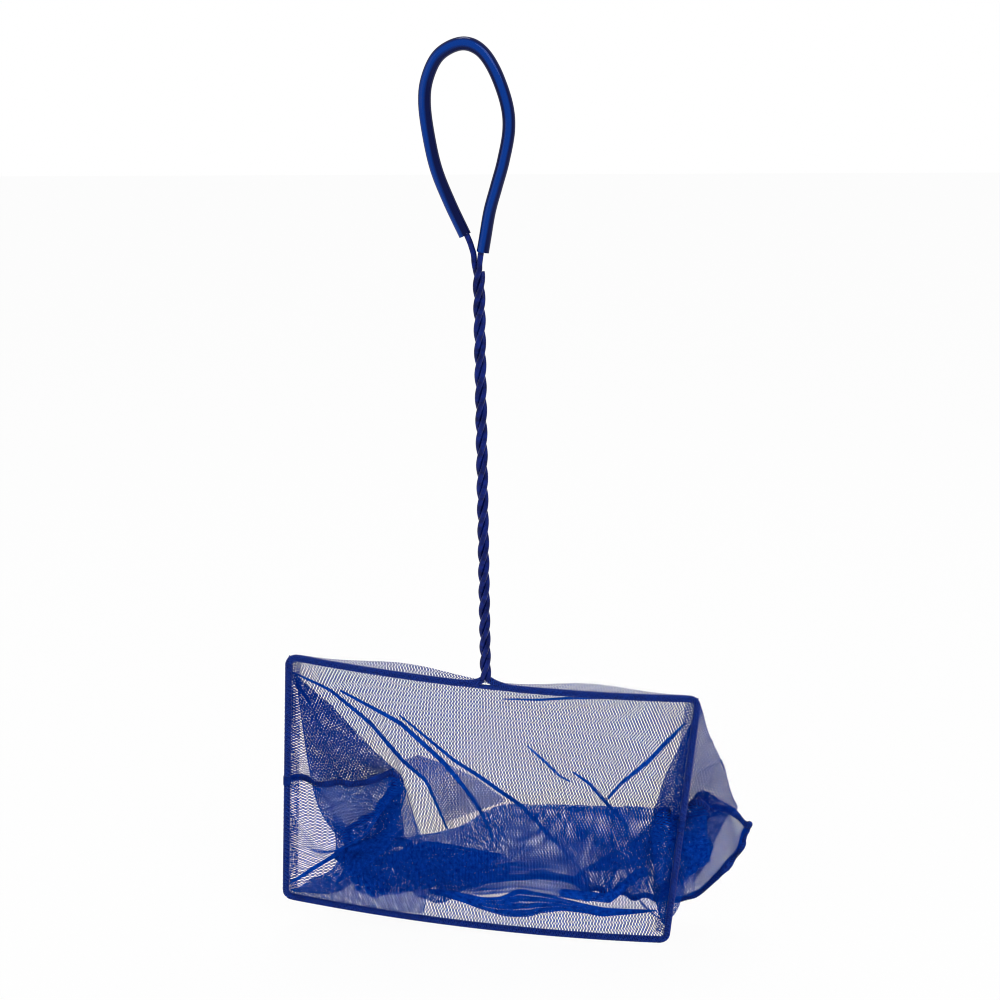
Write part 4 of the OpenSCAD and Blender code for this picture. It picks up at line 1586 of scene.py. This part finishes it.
UP, LOW = Panel.UPPER, Panel.LOWER
FOLDS = (
    pleat("crease_corner_steep", UP, ((-124, -9), (-101, -18), (-75, -38), (-53, -63), (-37, -76), (-32, -87),
                                      (-24, -105), (-21, -111)), 2.6),
    pleat("crease_corner_middle", UP, ((-94, -18), (-56, -36), (-28, -60), (-18, -71), (-7, -85), (0, -96),
                                       (7, -111)), 3.0, 3),
    pleat("crease_corner_flat", UP, ((-56, -31), (-20, -59), (-4, -68), (14, -80), (23, -85), (47, -109),
                                     (68, -131), (73, -144)), 2.6),
    pleat("crease_middle", UP, ((55, -58), (66, -65), (80, -80), (94, -94)), 2.4),
    pleat("crease_short", UP, ((25, -43), (36, -52), (47, -62), (54, -65)), 1.8),
    pleat("crease_right", UP, ((120, -15), (101, -44), (85, -63), (78, -75)), 2.8),
    pleat("crease_low_left", LOW, ((-83, -129), (-125, -166)), 2.8),
    Fold("fold_right_wedge", LOW, ((112, -89), (90, -109), (67, -129)),
         ((113, -118), (92, -125), (71, -130)), 2),
    pleat("crease_under_rail", UP, ((8, -12), (30, -10), (46, -7), (70, -4), (95, -1)), 1.6),
    Fold("slack_low_left", LOW, ((-125, -172), (-114, -165), (-71, -142), (-52, -150), (-32, -159)),
         ((-124, -177), (-97, -177), (-63, -178), (-34, -177)), 1),
    Fold("fold_dark_middle", LOW, ((-62, -137), (-49, -128), (-36, -121), (-17, -121), (0, -123), (17, -124)),
         ((-59, -142), (-48, -151), (-35, -159), (-21, -150), (1, -137), (18, -127)), 3),
    Fold("fold_low_wave", LOW, ((-32, -157), (-11, -157), (5, -159), (16, -157), (27, -149), (41, -150),
                                (59, -153), (73, -155), (85, -156), (98, -155), (118, -153)),
         ((-31, -160), (-11, -164), (6, -169), (22, -172), (35, -170), (46, -165), (57, -162), (71, -162),
          (83, -163), (100, -159), (118, -154)), 3),
    Fold("fold_low_right", LOW, ((54, -145), (72, -145), (84, -145), (92, -136), (100, -125), (108, -121)),
         ((54, -151), (73, -152), (87, -152), (96, -141), (104, -130), (112, -127)), 2),
    Fold("fold_left_point", LOW, ((-59, -69), (-52, -85), (-45, -102), (-37, -119)),
         ((-61, -71), (-62, -89), (-63, -108), (-65, -133)), 1),
    Fold("fold_between", UP, ((-53, -63), (-37, -76), (-32, -87), (-24, -105)),
         ((-43, -58), (-20, -64), (-4, -71), (4, -77), (15, -84)), 1),
    Fold("fold_low_middle", LOW, ((-25, -149), (1, -135), (27, -128), (53, -128), (72, -132)),
         ((-27, -157), (0, -158), (28, -151), (55, -152), (74, -153)), 2),
)


@dataclass
class FoldPieces:
    """The folds that are finer than the settled cloth's grid, laid on it as layers of net.

    Attributes:
        mesh: the net of a wide fold.
        gathered: the closer net of a narrow one.
        apart: distance between layers, and of the first from the cloth.
        askew: how far a layer slides along the one under it for each millimetre across.
        wide_fold: width over which a fold takes the net of a wide fold.
        points: how many points an edge is worked out at.
        calm: over how many of them its depth is averaged.
        overrun: share of its length by which a layer may pass an edge's end.
        wave: height of a layer's own waves.
        wave_run: their length over 2 pi.
    """

    bag: FoldedBag
    mesh: NetMesh
    gathered: NetMesh = field(default_factory=lambda: NetMesh(half_hole=0.65, row=1.2, yarn=0.6))
    apart: float = 0.7
    askew: float = -0.35
    wide_fold: float = 10.0
    points: int = 40
    calm: int = 9
    overrun: float = 0.01
    wave: float = 0.3
    wave_run: float = 5.0

    def ruled(self, edges: list[Array], long: float, wide: float, layer: int, u: Array, v: Array) -> Array:
        """A layer of a fold: ruled between its edges, a little nearer than the last and askew to it.

        Args:
            edges: points of its two edges, as (across, depth, up).
            long: the longer edge's length.
            wide: the fold's greatest width.
            layer: the layer's number, from 0 at the cloth.
            u: places along the edges.
            v: places from the one edge to the other.

        Returns:
            Points of the plane.
        """
        share = np.clip((u + self.askew * layer * (v + 1)) / long, -self.overrun, 1 + self.overrun)
        t, knots = share * (self.points - 1), np.arange(self.points)
        w = (v / wide)[..., None]
        one, other = (np.stack([np.interp(t, knots, edge[:, k]) for k in range(3)], -1) for edge in edges)
        p = one * (1 - w) + other * w
        y = p[..., 1] - self.apart * (layer + 1) + self.wave * np.sin(u / self.wave_run + layer)
        return HOOP.seen(p[..., 0], p[..., 2], y)

    def build(self) -> list[bpy.types.Object]:
        """Makes one piece for each fold.

        Returns:
            The pieces.
        """
        # The folds take the copy of the thread painted lighter as lit
        finish = LIT_NET_THREAD.material()
        made = []
        for fold in FOLDS:
            edges = [spaced(np.array([(x, 0.0, z) for x, z in edge], float), self.points)
                     for edge in (fold.one, fold.other)]
            long = max(length_of(edge) for edge in edges)
            widths = np.linalg.norm(edges[0] - edges[1], axis=1)
            wide, mean = float(widths.max()), float(widths.mean())
            for edge in edges:
                edge[:, 1] = averaged(self.bag.depth_at(fold.half, edge[:, 0], edge[:, 2]), self.calm)
            net = self.mesh if wide > self.wide_fold else self.gathered
            layers = [net.over(partial(self.ruled, edges, long, wide, k), long, wide)
                      for k in range(fold.layers)]
            piece = Surface.joined(layers).piece(fold.name, finish)
            made.append(dress(piece, "net", "upper_panel" if fold.half is Panel.UPPER else "lower_panel"))
        return made


# the studio


@dataclass(frozen=True)
class Lamp:
    """A square area lamp: its place and size in metres, and its power in watts."""

    name: str
    place: tuple[float, float, float]
    size: float
    power: float


@dataclass
class Studio:
    """Pale floor, white surroundings, soft lamps, and the camera at the photograph's view.

    Attributes:
        focal_pixels: the camera's focal length, in pixels of a picture of this width.
        picture: that width.
        sensor: the sensor's width, in millimetres.
        pitch: how far down the camera looks.
        yaw: how far to the left.
        roll: how far it is turned about its own line of sight.
        floor_gap: distance of the floor under the net, in millimetres.
        floor_half: half the floor's side, in millimetres.
        floor_white: share of plain white in the floor that the camera sees.
        soft: strength of the surroundings' light on the net.
        aim: place at which the lamps point, in metres.
        lamps: the lamps.
    """

    focal_pixels: float = 1257.6
    picture: float = 1000.0
    sensor: float = 36.0
    pitch: float = math.radians(19.10)
    yaw: float = math.radians(5.62)
    roll: float = math.radians(-0.685)
    floor_gap: float = 0.6
    floor_half: float = 6000.0
    floor_white: float = 0.94
    soft: float = 0.6
    aim: tuple[float, float, float] = (0.0, 0.0, -0.28)
    lamps: tuple[Lamp, ...] = (Lamp("key", (0.9, -1.1, 0.9), 0.9, 9.0),
                               Lamp("fill", (-1.2, -0.8, 0.3), 1.0, 2.5),
                               Lamp("top", (-0.1, 0.3, 1.2), 0.5, 5.0))

    def camera(self) -> None:
        """Puts the camera where the photograph was taken, from a fit on the wire's shape."""
        ahead = Vector((-math.sin(self.yaw) * math.cos(self.pitch), math.cos(self.yaw) * math.cos(self.pitch),
                        -math.sin(self.pitch)))
        right = Vector((math.cos(self.yaw), math.sin(self.yaw), 0.0))
        up = right.cross(ahead)
        side = math.cos(self.roll) * right + math.sin(self.roll) * up
        top = -math.sin(self.roll) * right + math.cos(self.roll) * up
        data = bpy.data.cameras.new("camera")
        data.sensor_width, data.sensor_fit = self.sensor, "HORIZONTAL"
        data.lens = self.focal_pixels / self.picture * self.sensor
        data.clip_start, data.clip_end = 0.01, 20.0
        thing = bpy.data.objects.new("camera", data)
        turn = Matrix((side, top, -ahead)).transposed().to_4x4()
        eye = (Vector(HOOP.eye) - Vector(HOOP.hook)) * MM
        thing.matrix_world = Matrix.Translation(eye) @ turn
        bpy.context.scene.collection.objects.link(thing)
        bpy.context.scene.camera = thing

    def floor(self, low: float) -> None:
        """A wide pale floor under the net, nearly white to the camera, that keeps the shadow.

        Args:
            low: the net's lowest height, in metres.
        """
        n = Finish("floor", Base_Color=(0.95, 0.95, 0.95, 1.0), Roughness=1.0, Specular_IOR_Level=0.0)
        glow = n.add("Emission", Color=(1, 1, 1, 1), Strength=1.0)
        n.mix(n.math("MULTIPLY", n.camera_ray(), self.floor_white), n.shader.outputs[0], glow.outputs[0],
              n.tree.nodes["Material Output"].inputs["Surface"])
        wide, z = self.floor_half, low / MM - self.floor_gap
        points = np.array([[-wide, -wide, z], [wide, -wide, z], [wide, wide, z], [-wide, wide, z]])
        plane = Surface(points, np.array([[0, 1, 2, 3]]), np.zeros((4, 2))).piece("floor", n.material, False)
        plane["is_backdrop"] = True

    def surroundings(self) -> None:
        """White to the camera, straight or through the sleeve, and a plain soft light on the net."""
        world = bpy.data.worlds.new("studio")
        bpy.context.scene.world = world
        world.use_nodes = True
        n = Nodes(world.node_tree)
        n.tree.nodes.clear()
        soft = n.add("Background", Color=(1, 1, 1, 1), Strength=self.soft)
        white = n.add("Background", Color=(1, 1, 1, 1), Strength=1.0)
        n.mix(n.camera_ray(), soft.outputs[0], white.outputs[0], n.add("OutputWorld").inputs["Surface"])

    def hang(self, lamp: Lamp) -> None:
        """Hangs a lamp in its place, turned to the middle of the net.

        Args:
            lamp: the lamp.
        """
        data = bpy.data.lights.new(lamp.name, "AREA")
        data.size, data.energy = lamp.size, lamp.power
        thing = bpy.data.objects.new(lamp.name, data)
        thing.location = lamp.place
        thing.rotation_euler = (Vector(self.aim) - Vector(lamp.place)).to_track_quat("-Z", "Y").to_euler()
        bpy.context.scene.collection.objects.link(thing)

    def build(self, low: float) -> None:
        """Makes the studio round a net whose lowest point is given, in metres.

        Args:
            low: that point's height.
        """
        self.camera()
        self.floor(low)
        self.surroundings()
        for lamp in self.lamps:
            self.hang(lamp)
        bpy.context.scene.view_settings.view_transform = "Standard"
        bpy.context.scene.cycles.filter_width = 1.0


def main() -> None:
    """Builds the net piece by piece, then the studio."""
    logging.basicConfig(level=logging.INFO, format="%(name)s: %(message)s")
    cad_box = [list(corner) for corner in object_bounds()]
    wire = BentWire()
    made = wire.build()
    bag = FoldedBag()
    bag.settle()
    pieces = BagPieces(bag, wire)
    made += pieces.panels() + pieces.hem() + pieces.seams() + pieces.tacks() + pieces.raw_edges()
    made += FoldPieces(bag, pieces.mesh).build()
    for piece in made:
        LOG.info("piece %s: %d faces", piece.name, len(piece.data.polygons))
    Studio().build(cad_box[0][2])


if __name__ == "__main__":
    main()
